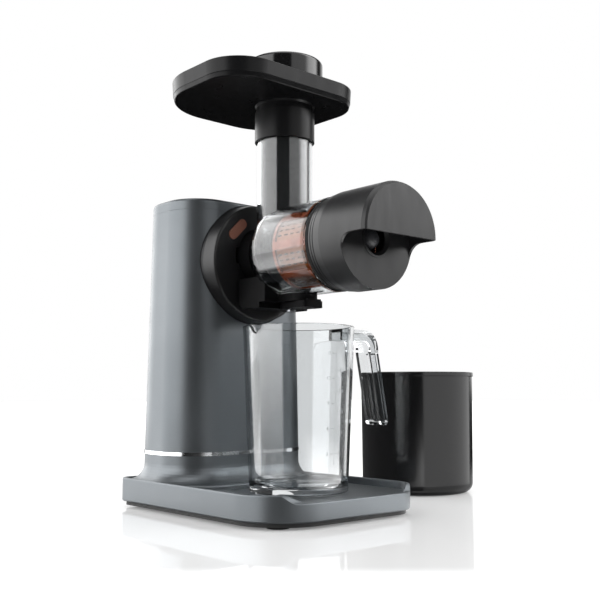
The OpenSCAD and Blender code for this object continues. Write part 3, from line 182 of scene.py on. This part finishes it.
def clear_moulded(name, ior):
    """Clear moulded copolyester. The eye sees through it with a faint waviness and a little haze,
    and it casts only a light shadow."""
    made, tree = new_material(name)
    place = add(tree, "TexCoord").outputs["Object"]
    upright = add(tree, "Mapping", place, Scale=(1, 1, 0.3))
    wave = add(tree, "TexNoise", upright, Scale=scale_of(14), Detail=2)
    haze = add(tree, "TexNoise", place, Scale=scale_of(5), Detail=4)
    clear = add(
        tree, "BsdfPrincipled",
        Base_Color=add(tree, "Mix", haze, *shades(srgb("#eff1f2"), 0.01), **COLOURS),
        Roughness=add(tree, "MapRange", haze, 0.35, 0.8, 0.0, 0.04, **SMOOTH),
        Transmission_Weight=1.0, IOR=ior,
        Normal=add(tree, "Bump", Distance=0.015 * MM, Height=wave))
    shadow = add(tree, "BsdfTransparent", PASSED_LIGHT)
    is_shadow = add(tree, "LightPath").outputs["Is Shadow Ray"]
    add(tree, "OutputMaterial", add(tree, "MixShader", is_shadow, clear, shadow))
    return made


def lined_steel(name, colour, rough, stretch, depth=0.004):
    """Ground, rolled or stacked steel. The eye sees fine lines or sheet edges that run one way and
    draw the highlights out across them. The real lines are about 0.05 mm apart, and they are
    drawn coarser so that they show."""
    made, tree = new_material(name)
    place = add(tree, "TexCoord").outputs["Object"]
    along = add(tree, "Mapping", place, Scale=stretch)
    lines = add(tree, "TexNoise", along, Scale=scale_of(0.3), Detail=3, Roughness=0.7)
    cloud = add(tree, "TexNoise", place, Scale=scale_of(15), Detail=4)
    edge = add(tree, "Bevel", 0.2 * MM, samples=4)
    steel = add(
        tree, "BsdfPrincipled", Metallic=1.0,
        Base_Color=add(tree, "Mix", cloud, *shades(srgb(colour), 0.06), **COLOURS),
        Roughness=add(tree, "MapRange", lines, *NOISE_RANGE, rough - 0.06, rough + 0.08, **SMOOTH),
        Normal=add(tree, "Bump", Distance=depth * MM, Height=lines, Normal=edge))
    add(tree, "OutputMaterial", steel)
    return made


def chrome_plate():
    """Bright chrome plate. The eye sees clear reflections with faint wipe marks."""
    made, tree = new_material("chrome_plate")
    place = add(tree, "TexCoord").outputs["Object"]
    level = add(tree, "Mapping", place, Scale=(1, 1, 6))
    wipe = add(tree, "TexNoise", level, Scale=scale_of(12), Detail=5, Roughness=0.7)
    ripple = add(tree, "TexNoise", place, Scale=scale_of(2.5), Detail=2)
    chrome = add(
        tree, "BsdfPrincipled", Metallic=1.0,
        Base_Color=add(tree, "Mix", wipe, *shades(srgb("#e4e6e8"), 0.03), **COLOURS),
        Roughness=add(tree, "MapRange", wipe, 0.35, 0.75, 0.1, 0.16, **SMOOTH),
        Normal=add(tree, "Bump", Distance=0.0002 * MM, Height=ripple))
    add(tree, "OutputMaterial", chrome)
    return made


def solder_mask():
    """Printed circuit board. The eye sees glossy green lacquer with rows of copper tracks that
    show through it."""
    made, tree = new_material("green_solder_mask")
    place = add(tree, "TexCoord").outputs["Object"]
    row_mm = 25 / 12    # a row is a quarter of the pattern's cell
    tracks = add(tree, "TexBrick", place, Scale=scale_of(4 * row_mm), Mortar_Size=0.06,
                 Color1=srgb("#1c5a38"), Color2=srgb("#174c30"), Mortar=srgb("#3d8a55"))
    speck = add(tree, "TexNoise", place, Scale=scale_of(1.2), Detail=3)
    lacquer = add(
        tree, "BsdfPrincipled", Base_Color=tracks.outputs["Color"],
        Roughness=add(tree, "MapRange", speck, *NOISE_RANGE, 0.22, 0.4, **SMOOTH),
        Normal=add(tree, "Bump", Distance=0.03 * MM, Height=tracks.outputs["Fac"]))
    add(tree, "OutputMaterial", lacquer)
    return made


def wound_wire():
    """Enamelled copper wire, wound. The eye sees shining rings about the motor's axis, one wire
    beside the next. Real wire is about 0.6 mm thick, and it is drawn 1.2 mm thick so that it
    shows: 3.2 waves lie in a cell of the pattern."""
    made, tree = new_material("enamelled_copper_wire")
    place = add(tree, "TexCoord").outputs["Object"]
    from_axis = add(tree, "VectorMath", place, (SCREW_X, 0.0, SCREW_Z), **MINUS)
    wave = add(tree, "TexWave", from_axis, Scale=scale_of(3.8), Distortion=1.5,
               wave_type="RINGS", rings_direction="Y").outputs["Fac"]
    speck = add(tree, "TexNoise", place, Scale=scale_of(0.8), Detail=2)
    wire = add(
        tree, "BsdfPrincipled", Metallic=0.7,
        # painted shade and highlight: the copper darkens in the creases between the wires and
        # lightens on their crowns, in step with the bump
        Base_Color=add(tree, "Mix", wave, *shades(srgb("#a8532a"), 0.3), **COLOURS),
        Roughness=add(tree, "MapRange", speck, *NOISE_RANGE, 0.25, 0.4, **SMOOTH),
        Normal=add(tree, "Bump", Distance=0.2 * MM, Height=wave))
    add(tree, "OutputMaterial", wire)
    return made


def sintered(name, colour, pore_mm=0.5):
    """Sintered metal, ferrite or carbon. The eye sees a dull sheen broken by small pores. Real
    pores are about 0.05 mm across, and they are drawn coarser so that they show."""
    made, tree = new_material(name)
    place = add(tree, "TexCoord").outputs["Object"]
    pore = add(tree, "TexVoronoi", place, Scale=scale_of(pore_mm))
    cloud = add(tree, "TexNoise", place, Scale=scale_of(6), Detail=4)
    pressed = add(
        tree, "BsdfPrincipled", Metallic=0.8,
        Base_Color=add(tree, "Mix", cloud, *shades(srgb(colour), 0.15), **COLOURS),
        Roughness=add(tree, "MapRange", pore, 0.0, 0.6, 0.5, 0.35, **SMOOTH),
        Normal=add(tree, "Bump", Distance=0.03 * MM, Height=pore))
    add(tree, "OutputMaterial", pressed)
    return made


def printed_ink():
    """Screen-printed ink. The eye sees thin grey marks of a slightly uneven tone."""
    made, tree = new_material("screen_printed_grey_ink")
    place = add(tree, "TexCoord").outputs["Object"]
    grain = add(tree, "TexNoise", place, Scale=scale_of(0.15), Detail=2)
    ink = add(
        tree, "BsdfPrincipled",
        Base_Color=add(tree, "Mix", grain, *shades(srgb("#8b8e91"), 0.1), **COLOURS),
        Roughness=add(tree, "MapRange", grain, *NOISE_RANGE, 0.4, 0.6, **SMOOTH))
    add(tree, "OutputMaterial", ink)
    return made


# column, platform and top cover
PAINT = sprayed_paint()
# mouldings of black ABS, each with its own shade and gloss
COLLAR_BLACK = moulded("moulded_abs_satin", "#131314", 0.34, specular=0.45)
CAP_BLACK = moulded("moulded_abs_soft", "#171718", 0.4, grain_depth=0.006, specular=0.42)
DULL_BLACK = moulded("moulded_abs_dull", "#0b0b0c", 0.55, specular=0.06)
TRAY_BLACK = moulded("moulded_abs_tray", "#101011", 0.3, specular=0.15)
STEM_BLACK = moulded("moulded_abs_stem", "#1f1f20", 0.5, specular=0.12)
GLOSS_BLACK = moulded("moulded_abs_polished", "#101011", 0.12, grain_mm=1.5, grain_depth=0.001,
                      tone=0.1, spread=0.04)
# painted shade: not a moulding but a near-black, matt strip that stands for the shadow in the cap's
# seams
SEAM_SHADE = moulded("painted_seam_shade", "#030303", 0.7, specular=0.05)
BIN_BLACK = moulded("moulded_abs_semi_gloss", "#111112", 0.17, grain_depth=0.0012, spread=0.03)
PLATE_BLACK = moulded("moulded_abs_coarse", "#1a1a1a", 0.6, grain_mm=0.8, grain_depth=0.02)
# the power and reverse keys
KEY_GREY = moulded("moulded_abs_pale_grey", "#c9cbcc", 0.3, grain_mm=0.6)
# feet and seals
RUBBER = moulded("moulded_silicone_rubber", "#171717", 0.75, grain_mm=0.6, grain_depth=0.02,
                 specular=0.3)
# gears, drive and fan
ACETAL = moulded("moulded_natural_acetal", "#ddd8c8", 0.35, grain_mm=0.5)
# screw, gear case, switches and the parts on the boards
NYLON = moulded("moulded_glass_filled_nylon", "#26272a", 0.5, grain_mm=0.5, grain_depth=0.012)
# turned and ground steel, the rotor's stacked sheets and the bronze-toned screen
STEEL = lined_steel("ground_steel", "#b9bcc0", 0.3, (1, 0.05, 1))
CORE_STEEL = lined_steel("stacked_steel_sheets", "#8d9095", 0.4, (0.05, 1, 0.05), depth=0.05)
SCREEN_STEEL = lined_steel("bronze_toned_steel_sheet", "#6e3f22", 0.34, (1, 0.2, 1))
# ring between the column's foot and its shell
CHROME = chrome_plate()
# boards, windings and commutator, bushes, magnets and brushes
BOARD = solder_mask()
WIRE = wound_wire()
BRONZE = sintered("sintered_bronze", "#8f6132")
FERRITE = sintered("sintered_ferrite_and_carbon", "#35363a", pore_mm=0.3)
# filter basket and start key, release button
COPPER = copper_toned("moulded_copper_toned_abs", "#7e3814", 0.24, specular=0.3)
DULL_COPPER = copper_toned("moulded_dull_copper_toned_abs", "#8a5c4c", 0.42)
# chute and jug; copolyester's IOR is about 1.57, and each is matched to its own edges
CLEAR = clear_moulded("moulded_clear_copolyester", 1.52)
JUG_CLEAR = clear_moulded("moulded_clear_copolyester_jug", 1.66)
# scale on the jug
INK = printed_ink()

LOOKS = {
    PAINT: ["platform", "column_shell", "top_cover"],
    COLLAR_BLACK: ["collar", "cord_gland"],
    CAP_BLACK: ["end_cap"],
    GLOSS_BLACK: ["control_panel", "pusher_cap"],
    TRAY_BLACK: ["hopper_tray"],
    DULL_BLACK: ["chute_sleeve", "spout_block", "drip_lever"],
    STEM_BLACK: ["pusher_stem"],
    BIN_BLACK: ["pulp_container"],
    PLATE_BLACK: ["base_plate", "end_bell", "brush_holders"],
    RUBBER: ["feet", "drive_seal", "cap_seal"],
    ACETAL: ["cooling_fan", "ring_gear", "output_drive", "planet_gear_a", "planet_gear_b",
             "planet_gear_c"],
    KEY_GREY: ["power_button", "reverse_button"],
    NYLON: ["button_switches", "gear_case", "auger", "board_parts"],
    STEEL: ["base_screws", "drive_screws", "planet_pins", "gearbox_screws", "lever_pin",
            "motor_shaft", "motor_plate", "motor_can"],
    CORE_STEEL: ["armature_core"],
    SCREEN_STEEL: ["filter_screen"],
    CHROME: ["trim_ring"],
    BOARD: ["control_board", "power_board"],
    WIRE: ["armature_windings", "commutator"],
    BRONZE: ["output_bearing", "motor_bearings"],
    FERRITE: ["motor_magnets", "carbon_brushes"],
    COPPER: ["start_button", "filter_basket"],
    DULL_COPPER: ["release_button"],
    CLEAR: ["chute"],
    JUG_CLEAR: ["jug"],
}
for look, names in LOOKS.items():
    for node_name in names:
        mesh = NODES[node_name].data
        mesh.materials.clear()
        mesh.materials.append(look)

# ---------------------------------------------------------------- new meshes


def put(name, data):
    """A new object at the origin of the scene."""
    made = bpy.data.objects.new(name, data)
    bpy.context.scene.collection.objects.link(made)
    return made


def surface(name, points, faces, look):
    """A new object with a mesh of one material."""
    mesh = bpy.data.meshes.new(name)
    mesh.from_pydata(np.asarray(points).tolist(), [], faces)
    mesh.materials.append(look)
    return put(name, mesh)


def piece(name, points, faces, look, body):
    """A new piece of the juicer that rides on a body, with its material slot."""
    made = surface(name, points, faces, look)
    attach(made, body)
    return made


def quads(index):
    """Faces between the neighbours of a grid of point numbers: here, next row, next row and
    column, next column."""
    corners = [index[:-1, :-1], index[1:, :-1], index[1:, 1:], index[:-1, 1:]]
    return np.stack(corners, axis=-1).reshape(-1, 4)


# ---------------------------------------------------------------- printed scale on the jug

jug_low, jug_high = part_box("jug")
JUG_X = SCREW_X                             # the jug stands under the screw's axis
JUG_Y = (jug_low.y + jug_high.y) / 2
JUG_BASE_R = 0.0377
JUG_RIM_R = 0.0431
INK_LIFT = 0.06 * MM
TICK_HALF = 0.2 * MM
NUMERAL_HEIGHT = 2.6 * MM
FONT_SIZE = 1.4 * NUMERAL_HEIGHT            # a digit is about 1 / 1.4 of the font's size
LINE_TURNS = (-90.3, -90.0)
LINE_HEIGHTS = (0.040, 0.128)


def jug_radius(z):
    """Outer radius of the jug at height z: it grows evenly from its base to its rim."""
    share = (z - jug_low.z) / (jug_high.z - jug_low.z)
    return JUG_BASE_R + (JUG_RIM_R - JUG_BASE_R) * share


def on_jug(flat):
    """Wraps flat points (angle a in degrees, height z) onto the jug's outside: x = r cos a and
    y = r sin a from the jug's axis, with r the jug's radius at z and the ink's lift."""
    turn, z = np.radians(flat[:, 0]), flat[:, 1]
    r = jug_radius(z) + INK_LIFT
    return np.column_stack([JUG_X + r * np.cos(turn), JUG_Y + r * np.sin(turn), z])


def ink_patch(turns, heights, columns=4, rows=1):
    """Flat patch of ink between two angles and two heights, as an even grid of points."""
    turn, z = np.meshgrid(np.linspace(*turns, columns + 1), np.linspace(*heights, rows + 1))
    index = np.arange(turn.size).reshape(turn.shape)
    return np.column_stack([turn.ravel(), z.ravel()]), quads(index.T).tolist()


def numeral(text):
    """Flat points in metres and faces of a number, its middle at the origin."""
    curve = bpy.data.curves.new("numeral", "FONT")
    curve.body = text
    curve.size = FONT_SIZE
    curve.align_x = "CENTER"
    curve.align_y = "CENTER"
    curve.resolution_u = 3
    made = bpy.data.objects.new("numeral", curve)
    mesh = made.to_mesh()
    points = np.empty(3 * len(mesh.vertices))
    mesh.vertices.foreach_get("co", points)
    faces = [tuple(p.vertices) for p in mesh.polygons]
    made.to_mesh_clear()
    bpy.data.objects.remove(made)
    bpy.data.curves.remove(curve)
    return points.reshape(-1, 3)[:, :2], faces


def scale_column(labels, first, step, tick, label_at):
    """Flat marks of one column of the scale: for the k-th label, at height first + step * k, a
    tick between two angles and the label about a third one."""
    marks = []
    for k, text in enumerate(labels):
        z = first + step * k
        marks.append(ink_patch(tick, (z - TICK_HALF, z + TICK_HALF)))
        points, faces = numeral(text)
        degrees_per_metre = math.degrees(1 / jug_radius(z))
        marks.append((points * (degrees_per_metre, 1) + (label_at, z), faces))
    return marks


def printed_scale():
    """Two columns of ticks with numbers and a line between them, wrapped onto the jug."""
    marks = scale_column(["3", "6", "9", "12", "15"], first=0.0481, step=0.0183,
                         tick=(-95.5, -91.5), label_at=-99.5)
    marks += scale_column(["75", "150", "225", "300", "375"], first=0.0482, step=0.0151,
                          tick=(-88.6, -86.4), label_at=-81.5)
    marks.append(ink_patch(LINE_TURNS, LINE_HEIGHTS, columns=1, rows=12))
    faces, start = [], 0
    for flat, polygons in marks:
        faces += [tuple(start + i for i in polygon) for polygon in polygons]
        start += len(flat)
    points = on_jug(np.vstack([flat for flat, polygons in marks]))
    return piece("jug_scale", points, faces, INK, "jug")


printed_scale()

# ---------------------------------------------------------------- painted shade in the seams of the end cap

CAP_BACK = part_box("end_cap")[1].y
CAP_BACK_R = 0.0346
CAP_FLARE = 1.5 / 7
SEAMS = ((0.0002, 0.0009), (0.0032, 0.0040), (0.0064, 0.0071))    # distances from the back edge
SEAM_PROUD = 0.06 * MM
SEAM_SEAT = 0.3 * MM
SEAM_TURNS = 96


def seam_ring(start, end):
    """Points of a ring of rectangular section round the cap, four for each turn a: at distance y
    from the back edge the section reaches from r + proud to r - seat, with r = r0 + flare * y,
    and a radius r lies at x = r cos a and z = r sin a from the screw's axis."""
    y = np.array([start, end, end, start])
    r = CAP_BACK_R + CAP_FLARE * y + (SEAM_PROUD, SEAM_PROUD, -SEAM_SEAT, -SEAM_SEAT)
    turn = np.linspace(0, 2 * math.pi, SEAM_TURNS, endpoint=False)[:, None]
    place = (SCREW_X + r * np.cos(turn), CAP_BACK - y, SCREW_Z + r * np.sin(turn))
    return np.stack(np.broadcast_arrays(*place), axis=-1).reshape(-1, 3)


def cap_seam_shades():
    """Three rings of painted shade round the cap's flared back edge: near-black matt strips that
    stand for the shadow in its seams, each closed on itself.
    """
    rings = [seam_ring(*seam) for seam in SEAMS]
    index = np.arange(SEAM_TURNS * 4).reshape(SEAM_TURNS, 4)
    closed = quads(np.pad(index, ((0, 1), (0, 1)), mode="wrap"))
    faces = np.vstack([closed + index.size * k for k in range(len(rings))]).tolist()
    return piece("cap_seam_shades", np.vstack(rings), faces, SEAM_SHADE, "cap")


cap_seam_shades()

# ---------------------------------------------------------------- camera

YAW = math.radians(41.53)
PITCH = math.radians(5.87)
EYE = Vector((-0.3976, -0.4717, 0.0941))
FOCAL_PX = 879.5
FRAME_PX = 600
SENSOR_MM = 36
ahead = Vector((math.sin(YAW) * math.cos(PITCH), math.cos(YAW) * math.cos(PITCH), math.sin(PITCH)))
level_ahead = Vector((math.sin(YAW), math.cos(YAW), 0))
aside = Vector((math.cos(YAW), -math.sin(YAW), 0))

camera_data = bpy.data.cameras.new("camera")
camera_data.sensor_width = SENSOR_MM
camera_data.lens = FOCAL_PX / FRAME_PX * SENSOR_MM
camera = put("camera", camera_data)
camera.location = EYE
camera.rotation_euler = ahead.to_track_quat("-Z", "Y").to_euler()
bpy.context.scene.camera = camera

# ---------------------------------------------------------------- surroundings

# each panel: its range of turns from the camera's side, its range of heights, the angles over
# which its sides, foot and head fade, all in degrees, and its strength
PANELS = (
    ((-150, -34), (-6, 41), (3, 7, 3), 3.3),      # left panel
    ((-118, -94), (-27, -6), (3, 3, 7), 3.3),     # its low wing
    ((21, 112), (10, 58), (3, 4, 4), 1.3),        # right panel
    ((72, 112), (10, 58), (10, 4, 4), 3.8),       # its brighter far half
    ((-200, 200), (62, 100), (8, 8, 8), 2.0),     # overhead panel
)
ROOM_GLOW = 0.06
BACKDROP_GLOW = 0.95


def panel_glow(tree, turn, height, turn_range, height_range, edges, strength):
    """Glow of a soft rectangle in the surroundings: its strength times four smooth steps, which
    rise and fall over the fading angles on both sides, at the foot and at the head."""
    side, foot, head = edges
    glow = strength
    for value, (low, high), fade_in, fade_out in ((turn, turn_range, side, side),
                                                  (height, height_range, foot, head)):
        rise = add(tree, "MapRange", value, low - fade_in, low + fade_in, **SMOOTH)
        fall = add(tree, "MapRange", value, high - fade_out, high + fade_out, 1.0, 0.0, **SMOOTH)
        glow = add(tree, "Math", glow, add(tree, "Math", rise, fall, **TIMES), **TIMES)
    return glow


def studio():
    """Surroundings: a dark gap towards the camera between two tall soft panels, a pale backdrop,
    a soft panel overhead; plain white where they are seen directly or straight through."""
    world = bpy.data.worlds.new("studio")
    bpy.context.scene.world = world
    world.use_nodes = True
    tree = world.node_tree
    tree.nodes.clear()
    place = add(tree, "TexCoord").outputs["Generated"]
    right = add(tree, "VectorMath", place, aside, **PART_ALONG)
    away = add(tree, "VectorMath", place, level_ahead, **PART_ALONG)
    up = add(tree, "VectorMath", place, (0, 0, 1), **PART_ALONG)
    straight = add(tree, "VectorMath", place, ahead, **PART_ALONG)
    towards = add(tree, "Math", away, -1.0, **TIMES)
    turn = add(tree, "Math", right, towards, operation="ARCTAN2")
    turn = add(tree, "Math", turn, operation="DEGREES")
    height = add(tree, "Math", add(tree, "Math", up, operation="ARCSINE"), operation="DEGREES")

    sky = add(tree, "MapRange", up, -0.12, 0.06, **SMOOTH)
    glow = add(tree, "Math", sky, ROOM_GLOW, **TIMES)
    for panel in PANELS:
        glow = add(tree, "Math", panel_glow(tree, turn, height, *panel), glow, **PLUS)
    behind = add(tree, "MapRange", away, 0.6, 0.8, **SMOOTH)
    above = add(tree, "MapRange", up, -0.02, 0.02, **SMOOTH)
    backdrop = add(tree, "Math", behind, above, **TIMES)
    backdrop = add(tree, "Math", backdrop, BACKDROP_GLOW, **TIMES)
    glow = add(tree, "Math", glow, backdrop, **PLUS)

    path = add(tree, "LightPath")
    nearly_straight = add(tree, "MapRange", straight, 0.82, 0.93, **SMOOTH)
    through = add(tree, "Math", path.outputs["Is Transmission Ray"], nearly_straight, **TIMES)
    seen = add(tree, "Math", path.outputs["Is Camera Ray"], through, **LARGER)
    lit = add(tree, "Background", WHITE, glow)
    plain = add(tree, "Background", WHITE, 1.0)
    add(tree, "OutputWorld", add(tree, "MixShader", seen, lit, plain))


MACHINE_MIDDLE = (SCREW_X, 0.054, 0)    # on the floor
FLOOR_HALF = 6.0
FLOOR_GREY = (0.7, 0.7, 0.7, 1)
FLOOR_GLOW = 0.34
MIRROR_SHARE = 0.42                     # of the floor, as seen directly
TABLE_MIRROR_SHARE = 0.4                # of the table that reflections show
# painted light: the table's own glow stands for a pool of light under the right panel
POOL_GLOW = 5.2                         # of that table, under the right panel
# ranges in metres over which the floor's zones blend, by depth, distance or side
MIRROR_START_DEPTH = (-0.245, -0.205)
MIRROR_END_REACH = (0.5, 1.0)
WHITE_DEPTH = (0.05, 0.2)
WHITE_REACH = (0.2, 0.4)
POOL_SIDE = (0.04, 0.17)
POOL_END_DEPTH = (0.02, 0.08)
TABLE_END_REACH = (0.25, 0.6)
TABLE_SIDE = (-0.2, -0.12)


def floor():
    """White glossy floor: it keeps the shadow and a mirror image that stops short of the camera.
    Its zones are smooth steps of a place's depth and side from the machine's middle, along and
    across the camera's view, and of its distance."""
    look, tree = new_material("white_floor")
    place = add(tree, "TexCoord").outputs["Object"]
    place = add(tree, "VectorMath", place, MACHINE_MIDDLE, **MINUS)
    depth = add(tree, "VectorMath", place, level_ahead, **PART_ALONG)
    side = add(tree, "VectorMath", place, aside, **PART_ALONG)
    reach = add(tree, "VectorMath", place, operation="LENGTH")
    grain = add(tree, "TexNoise", place, Scale=scale_of(60), Detail=2)
    matt = add(
        tree, "BsdfPrincipled", Roughness=0.9, Specular_IOR_Level=0.0,
        Base_Color=add(tree, "Mix", grain, *shades(FLOOR_GREY, 0.01), **COLOURS),
        Emission_Color=WHITE, Emission_Strength=FLOOR_GLOW)
    mirror = add(tree, "BsdfGlossy", WHITE, 0.03)
    open_air = add(tree, "BsdfTransparent", WHITE)
    white = add(tree, "Emission", WHITE, 1.0)

    # seen directly, the mirror image starts before the machine and fades out round it
    start = add(tree, "MapRange", depth, *MIRROR_START_DEPTH, 0.0, MIRROR_SHARE, **SMOOTH)
    fade = add(tree, "MapRange", reach, *MIRROR_END_REACH, 1.0, 0.0, **SMOOTH)
    seen = add(tree, "MixShader", add(tree, "Math", start, fade, **TIMES), matt, mirror)

    # through clear pieces the floor far behind is as white as the backdrop
    far = add(tree, "MapRange", depth, *WHITE_DEPTH, **SMOOTH)
    beyond = add(tree, "MixShader", far, open_air, white)
    outside = add(tree, "MapRange", reach, *WHITE_REACH, **SMOOTH)
    through = add(tree, "MixShader", outside, seen, beyond)

    # in reflections only the table near the machine counts, and it glows as a painted pool of
    # light, brightest under the right panel
    lit_side = add(tree, "MapRange", side, *POOL_SIDE, 0.2, POOL_GLOW, **SMOOTH)
    lit_front = add(tree, "MapRange", depth, *POOL_END_DEPTH, 1.0, 0.05, **SMOOTH)
    pool = add(tree, "Emission", WHITE, add(tree, "Math", lit_side, lit_front, **TIMES))
    table = add(tree, "MixShader", TABLE_MIRROR_SHARE, pool, mirror)
    near = add(tree, "MapRange", reach, *TABLE_END_REACH, 1.0, 0.0, **SMOOTH)
    beside = add(tree, "MapRange", side, *TABLE_SIDE, **SMOOTH)
    on_table = add(tree, "Math", near, beside, **TIMES)
    reflected = add(tree, "MixShader", on_table, open_air, table)

    path = add(tree, "LightPath")
    is_through = path.outputs["Is Transmission Ray"]
    by_piece = add(tree, "MixShader", is_through, reflected, through)
    bent = add(tree, "Math", path.outputs["Is Glossy Ray"], is_through, **LARGER)
    not_camera = add(tree, "Math", 1.0, path.outputs["Is Camera Ray"], **MINUS)
    bent = add(tree, "Math", bent, not_camera, **TIMES)
    add(tree, "OutputMaterial", add(tree, "MixShader", bent, seen, by_piece))

    corners = [(x * FLOOR_HALF, y * FLOOR_HALF, 0) for x, y in ((-1, -1), (1, -1), (1, 1), (-1, 1))]
    made = surface("floor", corners, [(0, 1, 2, 3)], look)


CARD_REACH = 0.11       # from the container's middle
CARD_RISE = 0.03        # above the container's top
CARD_STEPS = 6


def bin_card(name, from_turn, to_turn, strength):
    """Card round the pulp container between two turns from the camera's side: at turn a it stands
    at reach * (sin a aside - cos a ahead) from the container's middle. Only the container's gloss
    sees its inner side, everything else passes through it and it casts no shadow."""
    low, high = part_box("pulp_container")
    middle = (low + high) / 2
    turn = np.radians(np.linspace(from_turn, to_turn, CARD_STEPS + 1))[:, None]
    way = np.sin(turn) * np.array(aside) - np.cos(turn) * np.array(level_ahead)
    foot = np.array((middle.x, middle.y, 0.0)) + CARD_REACH * way
    head = foot + (0, 0, high.z + CARD_RISE)
    index = np.arange(2 * len(turn)).reshape(-1, 2)
    look, tree = new_material(name)
    outer_side = add(tree, "NewGeometry").outputs["Backfacing"]
    glow = add(tree, "Emission", WHITE, strength)
    open_air = add(tree, "BsdfTransparent", WHITE)
    add(tree, "OutputMaterial", add(tree, "MixShader", outer_side, glow, open_air))
    points = np.stack([foot, head], axis=1).reshape(-1, 3)
    made = surface(name, points, quads(index[:, ::-1]).tolist(), look)
    for kind in ("camera", "diffuse", "transmission", "shadow"):
        setattr(made, "visible_" + kind, False)


studio()
floor()
bin_card("white_card", from_turn=3, to_turn=104, strength=1.35)
bin_card("black_flag", from_turn=-172, to_turn=-40, strength=0.08)
bpy.context.scene.view_settings.view_transform = "Standard"
